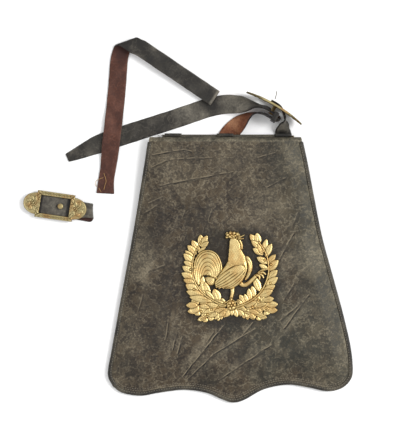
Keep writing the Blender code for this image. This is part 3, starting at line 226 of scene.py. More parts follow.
def tan_hide(hide):
    """One leather: mottling, grit, brush streaks, then scuffs, old black, painted highlights and shade from
    the marks.
    """
    finish, tree, shader = new_finish(hide.name)
    old_black, ground, cool_ground, pale, scuffed = [linear(tone) for tone in hide.tones.split()]
    place = add(tree, "TexCoord", {}, "Object")
    rub_and_highlight, soot_and_shade, cool = [add(tree, "Attribute", {}, "Fac", attribute_name=mark)
                       for mark in ("rub_and_highlight", "soot_and_shade", "cool")]
    brushed = add(tree, "Mapping", {"Vector": place, "Rotation": (0.0, 0.0, STREAK_TURN),
                                    "Scale": (STREAK_LONG / STREAK_WIDE, 1.0, 1.0)}, vector_type="TEXTURE")
    clouds = []
    # Each cloud of spots has a size in millimetres, then the noise values that are drawn as 0 and as 1
    for size, low, high, detail, vector in (
            (hide.patch_mm, 0.38, 0.62, 6.0, place), (hide.fleck_mm, 0.38, 0.62, 4.0, place),
            (hide.grit_mm, 0.4, 0.62, 2.0, place), (STREAK_WIDE, 0.53, 0.72, 2.0, brushed)):
        cloud = add(tree, "TexNoise", {"Vector": vector, "Scale": 1000.0 / size, "Detail": detail,
                                       "Roughness": 0.65})
        clouds.append(add(tree, "MapRange", {"Value": cloud, "From Min": low, "From Max": high}))
    patch, fleck, grit, streak = clouds
    tone = add(tree, "MixRGB", {"Fac": FLECK_SHARE, "Color1": patch, "Color2": fleck})
    tone = add(tree, "MixRGB", {"Fac": GRIT_SHARE, "Color1": tone, "Color2": grit})
    tone = add(tree, "MapRange", {"Value": tone, "From Min": 0.5 - 0.5 / hide.mottle,
                                  "From Max": 0.5 + 0.5 / hide.mottle})

    even = add(tree, "Math", {0: cool, 1: COOL_EVEN, 2: EVEN_SHARE}, operation="MULTIPLY_ADD")
    crazed = add(tree, "TexNoise", {"Vector": place, "Scale": 1000.0 / hide.fleck_mm, "Detail": 3.0})
    crack = add(tree, "Math", {0: crazed, 1: 0.5, 2: CRACK_FADE}, operation="COMPARE")
    lit = add(tree, "Math", {0: streak, 1: STREAK_LIGHT}, operation="MULTIPLY")
    lit = add(tree, "Math", {0: crack, 1: CRACK_LIGHT, 2: lit}, operation="MULTIPLY_ADD")
    lit = add(tree, "Math", {0: lit, 1: tone}, operation="MULTIPLY", use_clamp=True)
    # The scuff tone paints real scuffs and painted highlights; the old black paints old polish and painted
    # shade
    scuff_and_highlight = add(tree, "Math", {0: tone, 1: RUB_ON_PALE, 2: 1.0 - RUB_ON_PALE}, operation="MULTIPLY_ADD")
    scuff_and_highlight = add(tree, "Math", {0: rub_and_highlight, 1: scuff_and_highlight}, operation="MULTIPLY", use_clamp=True)
    black_and_shade = add(tree, "Math", {0: soot_and_shade, 1: BLACK_COVER}, operation="MULTIPLY", use_clamp=True)
    even_ground = add(tree, "MixRGB", {"Fac": cool, "Color1": ground, "Color2": cool_ground})
    colour = add(tree, "MixRGB", {"Fac": tone, "Color1": old_black, "Color2": pale})
    for share, layer in ((even, even_ground), (lit, scuffed), (scuff_and_highlight, scuffed), (black_and_shade, old_black)):
        colour = add(tree, "MixRGB", {"Fac": share, "Color1": colour, "Color2": layer})

    rough = add(tree, "MapRange", {"Value": tone, "To Min": hide.rough - 0.1, "To Max": hide.rough + 0.1})
    pebble = add(tree, "TexVoronoi", {"Vector": place, "Scale": 1000.0 / hide.grit_mm}, feature="SMOOTH_F1")
    height = add(tree, "Math", {0: pebble, 1: 0.6, 2: fleck}, operation="MULTIPLY_ADD")
    bump = add(tree, "Bump", {"Height": height, "Strength": hide.bump, "Distance": 0.0006})
    feed(tree, shader, {"Base Color": colour, "Roughness": rough, "IOR": LEATHER_IOR, "Normal": bump})
    return finish


face_leather, welt_leather, grain_side, tan_flesh, red_flesh, cut_edge = [tan_hide(hide) for hide in HIDES]
print("leathers:", [hide.name for hide in HIDES])

# %% [markdown]
# ## Brass, gilt and thread
#
# The badge is cast brass under mercury gilding, still bright: the raised parts are pale gold, and old
# polish has left the hollows brown, a brown that also stands for painted shade in the recesses. The
# buckles are the same metal with the gilding nearly gone, so they are olive and dull. Both are metals,
# so the colour sits in the reflection. A mark called "hollow" on each mesh tells the finish where the
# recesses are, and so where old polish and painted shade go. The stitches are waxed linen thread.

# %% Make the metals and the threads
Metal = namedtuple("Metal", "name bright warm deep rough patch_mm")
METALS = [
    Metal("gilded_cast_brass", "#dac288", "#c9a56a", "#4c3b1b", 0.4, 7.0),
    Metal("old_buckle_brass", "#aa9d74", "#a27f52", "#4f4327", 0.48, 6.0),
]
Thread = namedtuple("Thread", "name dark light")
THREADS = [
    Thread("waxed_linen_thread", "#585044", "#857d6d"),
    Thread("dark_waxed_thread", "#3a352d", "#5a5347"),
    Thread("tan_sewing_thread", "#8d6b3f", "#b38d5a"),
]
# One turn of the twist is nearer 1 mm, and is drawn coarser so that it shows
TWIST_MM = 1.5


def cast_metal(metal):
    """Gilt or bare brass: bright on its high parts, brown in the hollows, slightly uneven."""
    finish, tree, shader = new_finish(metal.name)
    bright, warm, deep = linear(metal.bright), linear(metal.warm), linear(metal.deep)
    place = add(tree, "TexCoord", {}, "Object")
    hollow = add(tree, "Attribute", {}, "Fac", attribute_name="hollow")
    patch = add(tree, "TexNoise", {"Vector": place, "Scale": 1000.0 / metal.patch_mm, "Detail": 6.0})
    stain = add(tree, "MapRange", {"Value": patch, "From Min": 0.45, "From Max": 0.8, "To Max": 0.35})
    # The hollow mark darkens for old polish and for painted shade in the recesses
    dirt_and_shade = add(tree, "Math", {0: hollow, 1: stain}, operation="ADD", use_clamp=True)
    blush = add(tree, "TexNoise", {"Vector": place, "Scale": 1000.0 / (1.7 * metal.patch_mm), "Detail": 4.0})
    blush = add(tree, "MapRange", {"Value": blush, "From Min": 0.46, "From Max": 0.62, "To Max": 0.75})
    colour = add(tree, "MixRGB", {"Fac": blush, "Color1": bright, "Color2": warm})
    colour = add(tree, "MixRGB", {"Fac": dirt_and_shade, "Color1": colour, "Color2": deep})
    rough = add(tree, "MapRange", {"Value": dirt_and_shade, "To Min": metal.rough, "To Max": metal.rough + 0.3})
    bump = add(tree, "Bump", {"Height": patch, "Strength": 0.25, "Distance": 0.0004})
    feed(tree, shader, {"Base Color": colour, "Roughness": rough, "Metallic": 1.0, "Normal": bump})
    return finish


def twist_thread(thread):
    """Old twisted thread: dull, and uneven along its length."""
    finish, tree, shader = new_finish(thread.name)
    twist = add(tree, "TexNoise", {"Scale": 1000.0 / TWIST_MM, "Detail": 3.0})
    dark, light = linear(thread.dark), linear(thread.light)
    colour = add(tree, "MixRGB", {"Fac": twist, "Color1": dark, "Color2": light})
    feed(tree, shader, {"Base Color": colour, "Roughness": 0.85})
    return finish


gilt, brass = [cast_metal(metal) for metal in METALS]
linen, dark_thread, tan_thread = [twist_thread(thread) for thread in THREADS]
print("metals:", [metal.name for metal in METALS])

# %% [markdown]
# ## Lines and grids
#
# A saddler works from patterns: a few measured places with a fair line drawn through them. Blender has
# curve objects for that, but a piece that follows several lines at once is easier to work out in
# numbers. So these helpers draw a smooth line through a few named places, measure along it, and join a
# grid of points with faces.

# %% Helpers for lines
def smooth_line(points, steps):
    """A smooth curve through points, with steps pieces between each two of them."""
    points = np.asarray(points, float)
    padded = np.concatenate([points[:1], points, points[-1:]])
    share = (np.arange(steps) / steps)[:, None]
    pieces = []
    for p0, p1, p2, p3 in zip(padded, padded[1:], padded[2:], padded[3:]):
        bend = (2.0 * p0 - 5.0 * p1 + 4.0 * p2 - p3) * share ** 2
        twist = (3.0 * p1 - p0 - 3.0 * p2 + p3) * share ** 3
        pieces.append(0.5 * (2.0 * p1 + (p2 - p0) * share + (bend + twist)))
    return np.concatenate(pieces + [points[-1:]])


def run_lengths(line):
    """How far each point of a line lies along it."""
    return np.concatenate([[0.0], np.cumsum(np.linalg.norm(np.diff(line, axis=0), axis=1))])


def read_at(places, reach, rows):
    """Rows of numbers that are given along a reach, read at other places on it."""
    return np.stack([np.interp(places, reach, column) for column in rows.T], axis=1)


def spread(line, shares):
    """Points on a line at shares of its flat length."""
    reach = run_lengths(line[:, :2])
    return read_at(shares, reach / reach[-1], line)


def grid_faces(rows, columns, around=False):
    """Faces of a grid of corners; around joins its last column to its first."""
    first = np.arange(rows - 1)[:, None] * columns
    side = np.arange(columns if around else columns - 1)[None, :]
    other = (side + 1) % columns
    return np.stack([first + side, first + columns + side, first + columns + other, first + other],
                    axis=-1).reshape(-1, 4)


print("line helpers ready")

# %% [markdown]
# ## Soft edges and noise
#
# Nothing on old leather has a hard border: wear, soot and swellings fade in and out, and no face is
# quite flat. A step with rounded ends, a bell-shaped bump and a soft noise can draw all of these. The
# noise is Blender's own, read at a place, so the same place has the same value on every run.

# %% Helpers for soft edges and noise
def smoothstep(value):
    """0 below 0, 1 above 1, and an S curve between."""
    value = np.clip(value, 0.0, 1.0)
    return value * value * (3.0 - 2.0 * value)


def bell(distance, width):
    """1 where the distance is nothing, fading to nothing over about two widths."""
    return np.exp(-(distance / width) ** 2)


def unit(vectors):
    """The same directions with a length of one."""
    return vectors / np.maximum(np.linalg.norm(vectors, axis=-1, keepdims=True), 1e-9)


def ways(angles):
    """Directions at angles in degrees."""
    return [np.array([math.cos(angle), math.sin(angle)]) for angle in np.radians(angles)]


def wander(points, size, seed=0.0):
    """Soft noise between about -1 and 1 at each point, with bumps of a given size in millimetres."""
    flat = np.asarray(points, float).reshape(-1, 3) / size + seed
    return np.array([noise.noise(Vector(point)) for point in flat]).reshape(np.shape(points)[:-1]) * 2.0


print("noise helpers ready")

# %% [markdown]
# ## From corners to a piece
#
# Each part of the bag is an object with a name, a finish and its own marks of wear. It could be drawn
# by hand in Edit Mode, but numbers can be measured on the photo and changed later. So one helper makes
# the mesh from a list of corners, keeps the marks at the corners for the finish to read, and lets the
# piece ride on the bag in place of its plain shape.

# %% Helper that makes a piece
def make_piece(name, points, faces, finishes, slot, stands_for=(), finish_of=None, marks=None):
    """A smooth-shaded piece from corners in millimetres, none below the table, riding on the bag."""
    mesh = bpy.data.meshes.new(name)
    on_table = np.maximum(np.asarray(points), (-np.inf, -np.inf, 0.0))
    mesh.from_pydata((on_table * MM).tolist(), [], [list(map(int, face)) for face in faces])
    for finish in finishes:
        mesh.materials.append(finish)
    if finish_of is not None:
        mesh.polygons.foreach_set("material_index", np.asarray(finish_of, np.int32))
    for mark, values in (marks or {}).items():
        mesh.attributes.new(mark, "FLOAT", "POINT").data.foreach_set("value", np.asarray(values, np.float32))
    mesh.shade_smooth()
    piece = bpy.data.objects.new(name, mesh)
    scene.collection.objects.link(piece)
    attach(piece, "root")
    if stands_for:
        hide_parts(*stands_for)
    print(name + ":", len(mesh.vertices), "corners,", len(mesh.polygons), "faces")


print("piece helper ready")

# %% [markdown]
# ## A sheet of leather
#
# Most of the bag is leather: a sheet with a grain side, a flesh side and an edge where the knife went
# through. A Solidify modifier could thicken a grid of points, but the cut edge would stay square. So
# this helper lays a second grid under the first and closes them with a row of corners that stands out
# a little between the two.

# %% Helper for leather
CUT_RUB = 0.3


def leather_sheet(name, face, thick, sides, slot, node, marks, bulge=0.25, lowest=None):
    """A closed sheet of leather under a grid of points: a grain and a flesh side, and a rounded cut edge."""
    rows, columns = face.shape[:2]
    normal = unit(np.cross(np.gradient(face, axis=0), np.gradient(face, axis=1)))
    inner = face - normal * thick
    if lowest is not None:
        inner[..., 2] = np.maximum(inner[..., 2], lowest(inner[..., 1]))
    number = np.arange(rows * columns).reshape(rows, columns)
    # The rim goes once round the grid, and inside holds each rim corner's neighbour
    rim = np.concatenate([number[0, :-1], number[:-1, -1], number[-1, :0:-1], number[:0:-1, 0]])
    inside = np.concatenate([number[1, :-1], number[:-1, -2], number[-2, :0:-1], number[:0:-1, 1]])
    flat_face, flat_inner = face.reshape(-1, 3), inner.reshape(-1, 3)
    out = unit(flat_face[rim] - flat_face[inside])
    middle = (flat_face[rim] + flat_inner[rim]) / 2.0 + out * bulge
    under = rows * columns
    faces = grid_faces(rows, columns)
    # The cut edge is two bands of faces, with the row that stands out between them
    start = 2 * under + np.arange(len(rim))
    end, next_rim = np.roll(start, -1), np.roll(rim, -1)
    upper = np.stack([rim, next_rim, end, start], axis=1)
    lower = np.stack([start, end, next_rim + under, rim + under], axis=1)
    all_faces = np.concatenate([faces, faces[:, ::-1] + under, upper, lower])
    finish_of = [0] * len(faces) + [1] * len(faces) + [2] * (2 * len(rim))
    spread_marks = {}
    for mark, values in marks.items():
        values = values.reshape(-1)
        on_cut = values[rim] * (CUT_RUB if mark == "rub_and_highlight" else 1.0)
        spread_marks[mark] = np.concatenate([values, values, on_cut])
    make_piece(name, np.concatenate([flat_face, flat_inner, middle]), all_faces, [*sides, cut_edge], slot,
               (node,), finish_of, spread_marks)


print("leather helper ready")

# %% [markdown]
# ## Wires and threads
#
# Rings, welts and threads are each one cross-section that is carried along a line. A curve object with
# a bevel could do it, but it may twist where the line turns over. Here the section is set square to
# the line at every point, from a direction that we choose.

# %% Helpers that sweep a section
def swept(line, across, up, profile, around=False):
    """Corners and faces of a cross-section carried along a line: a row of corners at each point of it."""
    rings = (line[:, None, :] + across[:, None, :] * profile[None, :, :1]
             + up[:, None, :] * profile[None, :, 1:])
    rows, columns = rings.shape[:2]
    faces = (grid_faces(rows + around, columns, around=True) % (rows * columns)).tolist()
    if not around:
        faces += [list(range(columns)), list(range(rows * columns - 1, (rows - 1) * columns - 1, -1))]
    return rings.reshape(-1, 3), faces


def circle(sides):
    """Places round a circle with a radius of one."""
    turn = np.arange(sides) * 2.0 * math.pi / sides
    return np.stack([np.cos(turn), np.sin(turn)], axis=1)


def wire(line, radius, sides, around=False):
    """A round wire or thread along a line, radius being one number or one at each point."""
    along = np.roll(line, -1, axis=0) - np.roll(line, 1, axis=0) if around else np.gradient(line, axis=0)
    along = unit(along)
    across = unit(np.cross(along, np.array([0.03, 0.02, 1.0])))
    up = np.cross(across, along)
    size = np.broadcast_to(np.asarray(radius, float), (len(line),))[:, None]
    return swept(line, across * size, up * size, circle(sides), around)


def joined(parts):
    """Several sets of corners and faces as one."""
    points, faces, count = [], [], 0
    for corners, sides in parts:
        points.append(corners)
        faces += [[corner + count for corner in face] for face in sides]
        count += len(corners)
    return np.concatenate(points), faces


print("sweep helpers ready")

# %% [markdown]
# ## The flap's outline
#
# The flap is one thick sheet, cut wider towards the hem, where the edge swings down in two lobes and a
# middle tip. The saddler cut it round a pattern, so we do the same: rows give the left and right edges
# down the bag, and a smooth line through named places gives the hem. The heights of the back, of the
# pocket and of the crown of the flap follow from how far down the bag a place is.

# %% Draw the pattern of the flap
FLAP_THICK = 2.6
BACK_THICK = 2.5
POUCH_THICK = 1.6
GAP = 0.3
WELT_OUT = 1.7
BACK_RISE = 7.6
RISE_FROM_Y = 18.0
RISE_LONG = 64.0
MOUTH_Y = 88.0
MOUTH_DEPTH = 3.4
MORE_DEPTH = 3.6
DEEPENING_LONG = 60.0
DOME_SLACK = 1.3

FlapRow = namedtuple("FlapRow", "y left right edge_z")
FLAP_ROWS = [
    FlapRow(101.4, -53, 149, 13.6),
    FlapRow(72, -57.5, 155.4, 12.4),
    FlapRow(25.5, -65.1, 164.4, 9),
    FlapRow(-24.2, -73.4, 174.6, 7.6),
    FlapRow(-76.4, -83.2, 188.8, 7),
    FlapRow(-123.6, -91.8, 201.6, 6.4),
    FlapRow(-169, -99.9, 211.8, 5.8),
    FlapRow(-201, -105.3, 214.2, 5.4),
    FlapRow(-214, -101, 208.4, 5.2),
]
HEM = [(-101, -214), (-89.1, -225), (-64, -229.3), (-39.6, -225.4), (-7, -221.6), (22.9, -225.4),
       (44, -234), (57.6, -238.2), (72, -235), (98.5, -220.9), (130, -214.9), (158, -218.6),
       (182, -223.4), (198.6, -220.6), (208.4, -214)]


def row_value(y, column):
    """A column of the flap's rows at height y."""
    rows = FLAP_ROWS[::-1]
    return np.interp(y, [row.y for row in rows], [getattr(row, column) for row in rows])


def back_rise(y):
    """How far the stiff back is lifted over the rings at height y."""
    return BACK_RISE * smoothstep((y - RISE_FROM_Y) / RISE_LONG)


def seat_z(y):
    """The height at which leather lies on the back panel."""
    return back_rise(y) + BACK_THICK + GAP


def pouch_depth(y):
    """Depth of the pocket under the flap, shallow at its mouth."""
    return MOUTH_DEPTH + MORE_DEPTH * smoothstep((MOUTH_Y - y) / DEEPENING_LONG)


def crown_height(y):
    """How high the flap's face lies over the pocket."""
    return seat_z(y) + pouch_depth(y) + DOME_SLACK + FLAP_THICK


print("hem:", HEM[0], "to", HEM[-1])

# %% [markdown]
# ## How the flap has creased
#
# A century of carrying has marked the sheet. Soft swells run down from the badge towards the hem, sharp
# creases have a valley beside them, a net of fine wrinkles lies between, and a slow wave goes over the
# whole face. All of them move the points of the mesh, but the wave leaves the badge a flat seat.

# %% Press the creases
Swell = namedtuple("Swell", "x0 y0 x1 y1 depth width")
SWELLS = [
    Swell(-47, 85, 6, 92, 0.7, 9), Swell(-37, 45, 33, 60, -0.5, 9),
    Swell(-14, -201, 38, -138, 0.9, 9), Swell(-2, -206, 78, -144, 1, 10),
    Swell(38, -206, 110, -155, 0.8, 10), Swell(112, -157, 150, -106, 0.7, 9),
]

# Sharp creases, each with a painted highlight along its upper side and painted shade below it, from one end
# to the other
Crease = namedtuple("Crease", "x0 y0 x1 y1 strength")
CREASES = [Crease(*row) for row in (
    (-47.8, 84.5, -6.7, 91.9, 0.8), (-6.7, 91.9, 4.2, 88.8, 0.7), (-47.8, 69.3, -28.3, 78, 0.6),
    (-28.3, 78, 32.3, 82.3, 0.5), (-37, 45.5, 32.3, 58.5, 0.8), (32.3, 58.5, 58.3, 62.8, 0.6),
    (102.1, 43.3, 127.7, 56.3, 0.7), (25.8, 0, 30.3, 15.2, 0.6), (-8.8, 2.2, -4.5, 13, 0.5),
    (116.8, -52, 136.3, -17.3, 0.7), (110.3, -36.8, 121.2, -32.5, 0.6), (123.3, -104, 136.3, -82.3, 0.7),
    (-21.8, -169, -15.3, -147.3, 0.8), (-15.3, -173.3, -8.8, -151.7, 0.7),
    (-30.5, -156, -26.2, -134.3, 0.6), (-8.8, -203.7, 47.5, -134.3, 1), (-2.3, -208, 32.3, -173.3, 0.9),
    (32.3, -173.3, 86.5, -140.8, 0.8), (38.8, -208, 64.8, -190.7, 0.8), (64.8, -190.7, 108.2, -160.3, 0.8),
    (123.3, -140.8, 155.8, -97.5, 0.8), (119, -130, 145, -108.3, 0.7), (-60, 8, -40, 20, 0.5),
    (134, -10, 142, 10, 0.5), (84, 34, 96, 50, 0.4), (-52, -66, -30, -58, 0.5),
    (-66, -120, -60, -96, 0.4), (69.6, -149.5, 83.9, -132.6, 0.7), (21.3, -161.2, 32.7, -145.3, 0.6),
    (-52, 22, -34, 30, 0.5), (84, 80, 112, 88, 0.5),
)]
CREASE_BOW = 1.2
VALLEY_BESIDE = (0.9, -0.8)
VALLEY_WIDE = 1.7
VALLEY_DEPTH = 0.85
CRAZE_DEPTH = 0.35
CRAZE_MM = 17.0
CRAZE_SHARP = 12
CRAZE_PATCH_MM = 45.0


def near_line(points, line, shift, bow, wide):
    """How far along a bowed line each point lies, and how near it is to the line, from 0 to 1."""
    run = np.array([line.x1 - line.x0, line.y1 - line.y0])
    offset = points[..., :2] - (np.array([line.x0, line.y0]) + shift)
    share = np.clip(offset @ run / (run @ run), 0.0, 1.0)
    aside = bow * np.sin(2.0 * np.pi * share)[..., None] * unit(np.array([-run[1], run[0]]))
    return share, bell(np.linalg.norm(offset - share[..., None] * run - aside, axis=-1), wide)


def on_creases(points, shift, wide):
    """How near each point is to the sharp creases, times each one's strength."""
    total = np.zeros(points.shape[:-1])
    for crease in CREASES:
        share, near = near_line(points, crease, shift, CREASE_BOW, wide)
        fade = np.sin(np.pi * np.clip(share, 0.1, 0.9)) ** 0.6
        total = np.maximum(total, crease.strength * fade * near)
    return total


def crazing(points):
    """A loose net of fine wrinkles, more in some places than in others."""
    net = np.clip(1.0 - np.abs(wander(points, CRAZE_MM, 3.0)), 0.0, 1.0) ** CRAZE_SHARP
    return net * np.clip(0.3 + 1.2 * wander(points, CRAZE_PATCH_MM, 8.0), 0.0, 1.0)


def crease_height(face):
    """How far swells, sharp creases and crazing lift or press the flap at each point."""
    total = -VALLEY_DEPTH * on_creases(face, VALLEY_BESIDE, VALLEY_WIDE) - CRAZE_DEPTH * crazing(face)
    for swell in SWELLS:
        share, near = near_line(face, swell, 0.0, 0.0, swell.width)
        total += swell.depth * np.sin(np.pi * np.clip(share, 0.06, 0.94)) * near
    return total


print("creases:", len(SWELLS) + len(CREASES))

# %% [markdown]
# ## The face of the flap
#
# Columns run down the sheet and lines run across it. Each point is placed between the two sides and
# the hem, then lifted over the pocket: low at the bound edge, and a soft dome in the middle. The top
# six lines roll over the fold at the hinge.

# %% Shape the flap
FLAP_DOWN = 226
FLAP_OVER = 196
EDGE_RAMP = 26.0
HEM_RAMP = 44.0
FOLD_TURNS = (90.0, 75.0, 60.0, 45.0, 30.0, 15.0)
FOLD_TOP_Y = 107.9
FOLD_OUT = FOLD_TOP_Y - FLAP_ROWS[0].y
FOLD_PINCH = 0.012
BADGE_MIDDLE = (54.4, -72.4)
BADGE_SEAT_RADIUS = 66.0
BADGE_SEAT_FADE = 24.0
WRINKLE_RAMP = 20.0
WAVE_HIGH = 0.55
WAVE_MM = 62.0
WAVE_RAMP = 8.0
PEBBLE_HIGH = 0.14
PEBBLE_MM = 11.0
CROWDED_EDGES = 0.06


def flap_face(lines, columns):
    """Points of the flap's outer face, and how far each lies from the side and from the hem."""
    down = np.arange(lines + 1) / lines
    over = np.arange(columns + 1) / columns
    over = over - CROWDED_EDGES * np.sin(2.0 * np.pi * over)
    left, right = [spread(smooth_line([(getattr(row, side) + inward, row.y) for row in FLAP_ROWS], 6), down)
                   for side, inward in (("left", WELT_OUT), ("right", -WELT_OUT))]
    hem_in = np.stack([WELT_OUT * (1.0 - 2.0 * over), np.full_like(over, WELT_OUT)], axis=1)
    hem = spread(smooth_line(HEM, 6), over) + hem_in
    across = over[:, None]
    flat = (1.0 - across) * left[:, None] + across * right[:, None]
    straight = (1.0 - across) * left[-1] + across * right[-1]
    # The lower a line lies, the more it takes the hem's shape
    flat = flat + down[:, None, None] * (hem - straight)[None]
    x, y = flat[..., 0], flat[..., 1]
    from_side = np.minimum(over, 1.0 - over)[None, :] * (right[:, :1] - left[:, :1])
    from_hem = np.broadcast_to((1.0 - down)[:, None] * (FLAP_ROWS[0].y - FLAP_ROWS[-1].y), x.shape)
    edge_z = row_value(y, "edge_z")
    dome = smoothstep(from_side / EDGE_RAMP) * smoothstep(from_hem / HEM_RAMP)
    return np.dstack([x, y, edge_z + (crown_height(y) - edge_z) * dome]), from_side, from_hem


def roll_fold(face):
    """The lines over the top fold, put in front of the face's own lines."""
    middle = (face[0, 0, 0] + face[0, -1, 0]) / 2.0
    lines = []
    for turn in np.radians(FOLD_TURNS):
        line = face[0].copy()
        line[:, 0] = middle + (line[:, 0] - middle) * (1.0 - FOLD_PINCH * (1.0 - math.cos(turn)))
        line[:, 2] -= (line[:, 2] - seat_z(line[:, 1])) * (1.0 - math.cos(turn))
        line[:, 1] += FOLD_OUT * math.sin(turn)
        lines.append(line)
    return np.concatenate([np.array(lines), face])


face, from_side, from_hem = flap_face(FLAP_DOWN, FLAP_OVER)
from_badge = np.hypot(face[..., 0] - BADGE_MIDDLE[0], face[..., 1] - BADGE_MIDDLE[1])
off_badge = smoothstep((from_badge - BADGE_SEAT_RADIUS) / BADGE_SEAT_FADE)
off_rim = smoothstep(from_side / WRINKLE_RAMP) * smoothstep(from_hem / WRINKLE_RAMP)
wrinkles = crease_height(face) * off_rim
wrinkles += wander(face, WAVE_MM) * WAVE_HIGH * off_badge * smoothstep(from_side / WAVE_RAMP)
wrinkles += wander(face * (1.0, 0.55, 0.0), PEBBLE_MM, 3.0) * PEBBLE_HIGH * off_badge
face[..., 2] += wrinkles
flap_points = roll_fold(face)
print("flap face:", flap_points.shape[:2], "points, top at", round(flap_points[..., 2].max(), 2), "mm")

# %% [markdown]
# ## Where the flap is worn
#
# The finish has gone first where the leather stands proud: along the wrinkles, down both edges, and
# in the lower corners that brushed a horse's side. Round the badge the leather is darker. A highlight
# is painted along the sharp creases, and shade is painted beside them and under the top seam. We work
# these marks out from the shape itself and from a few named places, and the leather's finish reads them.

# %% Name the worn places
Patch = namedtuple("Patch", "x y radius strength")
RUBBED = [Patch(*row) for row in (
    (-84, -150, 34, 0.14), (192, -150, 40, 0.12), (-92, -200, 30, 0.1),
    (186, -196, 34, 0.1), (140, 80, 28, 0.22), (-34, 76, 34, 0.16),
    (160, -50, 34, 0.3), (-8, 58, 30, 0.12), (62, 84, 40, 0.12),
    (176, -110, 30, 0.16), (-68, -48, 36, 0.34), (78, 50, 24, 0.1),
    (98, 22, 34, 0.2), (96, -16, 20, 0.12),
)]
BLACK_LEFT = [Patch(*row) for row in (
    (130, 44, 18, 0.25), (6, 14, 26, 0.35), (106, 80, 22, 0.25),
    (148, -84, 20, 0.2), (-42, -112, 24, 0.35), (76, -184, 22, 0.35),
    (-38, -30, 22, 0.35), (-78, -186, 22, 0.4), (46, 66, 16, 0.25),
    (-30, 96, 16, 0.3), (30, -196, 18, 0.35), (-36, -152, 26, 0.4),
    (-38, 12, 24, 0.35), (14, 88, 14, 0.2),
)]
GREEN_CORNER = Patch(128.0, -150.0, 84.0, 0.9)


def patches(points, places):
    """Soft round patches at named places, ragged at their edges."""
    total = np.zeros(points.shape[:-1])
    ragged = 1.0 + 0.35 * wander(points, 16.0, 5.0)
    for place in places:
        distance = np.hypot(points[..., 0] - place.x, points[..., 1] - place.y)
        fade = 1.0 - smoothstep(distance * ragged / place.radius - 0.25)
        total = np.maximum(total, place.strength * fade)
    return total


print("named places:", len(RUBBED) + len(BLACK_LEFT))

# %% [markdown]
# The other marks come from the shape. A crest is where the face stands higher than the mean of the
# places around it, so it is found by blurring the heights and taking them away. Edge, fold and seam
# are known by their distance, and the darker halo follows a rounded square round the badge.

# %% Mark the wear
GREEN_SIDE = 90.0
HALO_HALF = (63.0, 60.0)
HALO_FADE = 13.0
HALO_BLACK = 0.85
HALO_RAGGED = 4.0
HALO_RAGGED_MM = 13.0
CREASE_WIDE = 2.0
# Along the sharp creases a highlight is painted, and beside them below, a shade
CREASE_HIGHLIGHT = 0.3
CREASE_SHADE = 0.5
DARK_BESIDE = (1.8, -1.6)
CRAZE_RUB = 0.22
CREST_REACH = 24
CREST_HIGH = 0.2
CREST_RUB = 0.2
EDGE_RUB = 0.31
EDGE_RUB_IN = 3.6
EDGE_RUB_WIDE = 2.2
RIGHT_RUB = 0.22
RIGHT_RUB_WIDE = 26.0
FOLD_RUB = 0.7
FOLD_RUB_Y = 102.6
SEAM_SHADE = 0.7
SEAM_SHADE_Y = 100.6


def with_fold(values):
    """Values for the face, with nothing marked on the lines over the fold."""
    return np.concatenate([np.zeros((len(FOLD_TURNS), values.shape[1])), values])


mean = wrinkles.copy()
for _ in range(CREST_REACH):
    wide = np.pad(mean, 1, mode="edge")
    mean = (wide[:-2, 1:-1] + wide[2:, 1:-1] + wide[1:-1, :-2] + wide[1:-1, 2:]) / 4.0
crest = with_fold(np.clip((wrinkles - mean) / CREST_HIGH, 0.0, 1.0))

flap_y = flap_points[..., 1]
from_edge = with_fold(np.minimum(from_side, from_hem))
from_right = with_fold(face[:, -1:, 0] - face[..., 0])
edge_wear = EDGE_RUB * bell(from_edge - EDGE_RUB_IN, EDGE_RUB_WIDE)
edge_wear = edge_wear + RIGHT_RUB * (1.0 - smoothstep(from_right / RIGHT_RUB_WIDE))
edge_wear = np.maximum(edge_wear, FOLD_RUB * bell(flap_y - FOLD_RUB_Y, 1.2))
# Rub: real wear, and the painted highlight along the sharp creases
flap_rub_and_highlight = np.maximum.reduce([
    edge_wear * (0.75 + 0.5 * wander(flap_points, 9.0, 7.0)), patches(flap_points, RUBBED),
    CREST_RUB * crest, CRAZE_RUB * crazing(flap_points),
    CREASE_HIGHLIGHT * on_creases(flap_points, 0.0, CREASE_WIDE)])
flap_rub_and_highlight = np.clip(flap_rub_and_highlight, 0.0, 1.0)
off_middle = np.abs(flap_points[..., :2] - BADGE_MIDDLE) / HALO_HALF
halo_edge = (np.sum(off_middle ** 4, axis=-1) ** 0.25 - 1.0) * HALO_HALF[0]
halo_edge = halo_edge + HALO_RAGGED * wander(flap_points, HALO_RAGGED_MM, 6.0)
halo = HALO_BLACK * (1.0 - smoothstep(halo_edge / HALO_FADE + 0.4))
# Painted shade along the seam line under the top fold, where it lies within 8 mm of the flap's edge
painted_seam_shade = SEAM_SHADE * bell(flap_y - SEAM_SHADE_Y, 1.1) * (from_edge < 8.0)
painted_seam_shade[:len(FOLD_TURNS)] = 0.0
# Soot: old black and the darker halo, with painted shade beside the sharp creases and at the seam
flap_soot_and_shade = np.maximum.reduce([patches(flap_points, BLACK_LEFT), halo, painted_seam_shade,
                               CREASE_SHADE * on_creases(flap_points, DARK_BESIDE, CREASE_WIDE)])
flap_soot_and_shade = np.clip(flap_soot_and_shade * (1.0 - 0.3 * flap_rub_and_highlight), 0.0, 1.0)
flap_rub_and_highlight = flap_rub_and_highlight * (1.0 - 0.6 * halo)
flap_cool = np.maximum(1.0 - smoothstep(from_right / GREEN_SIDE), patches(flap_points, [GREEN_CORNER]))
leather_sheet("flap_face", flap_points, FLAP_THICK, (face_leather, welt_leather), "face_leather", "flap",
              {"rub_and_highlight": flap_rub_and_highlight, "soot_and_shade": flap_soot_and_shade, "cool": flap_cool},
              lowest=lambda y: np.where(y > MOUTH_Y, seat_z(y), 0.0))
print("worn share:", round(float((flap_rub_and_highlight > 0.2).mean()), 2))

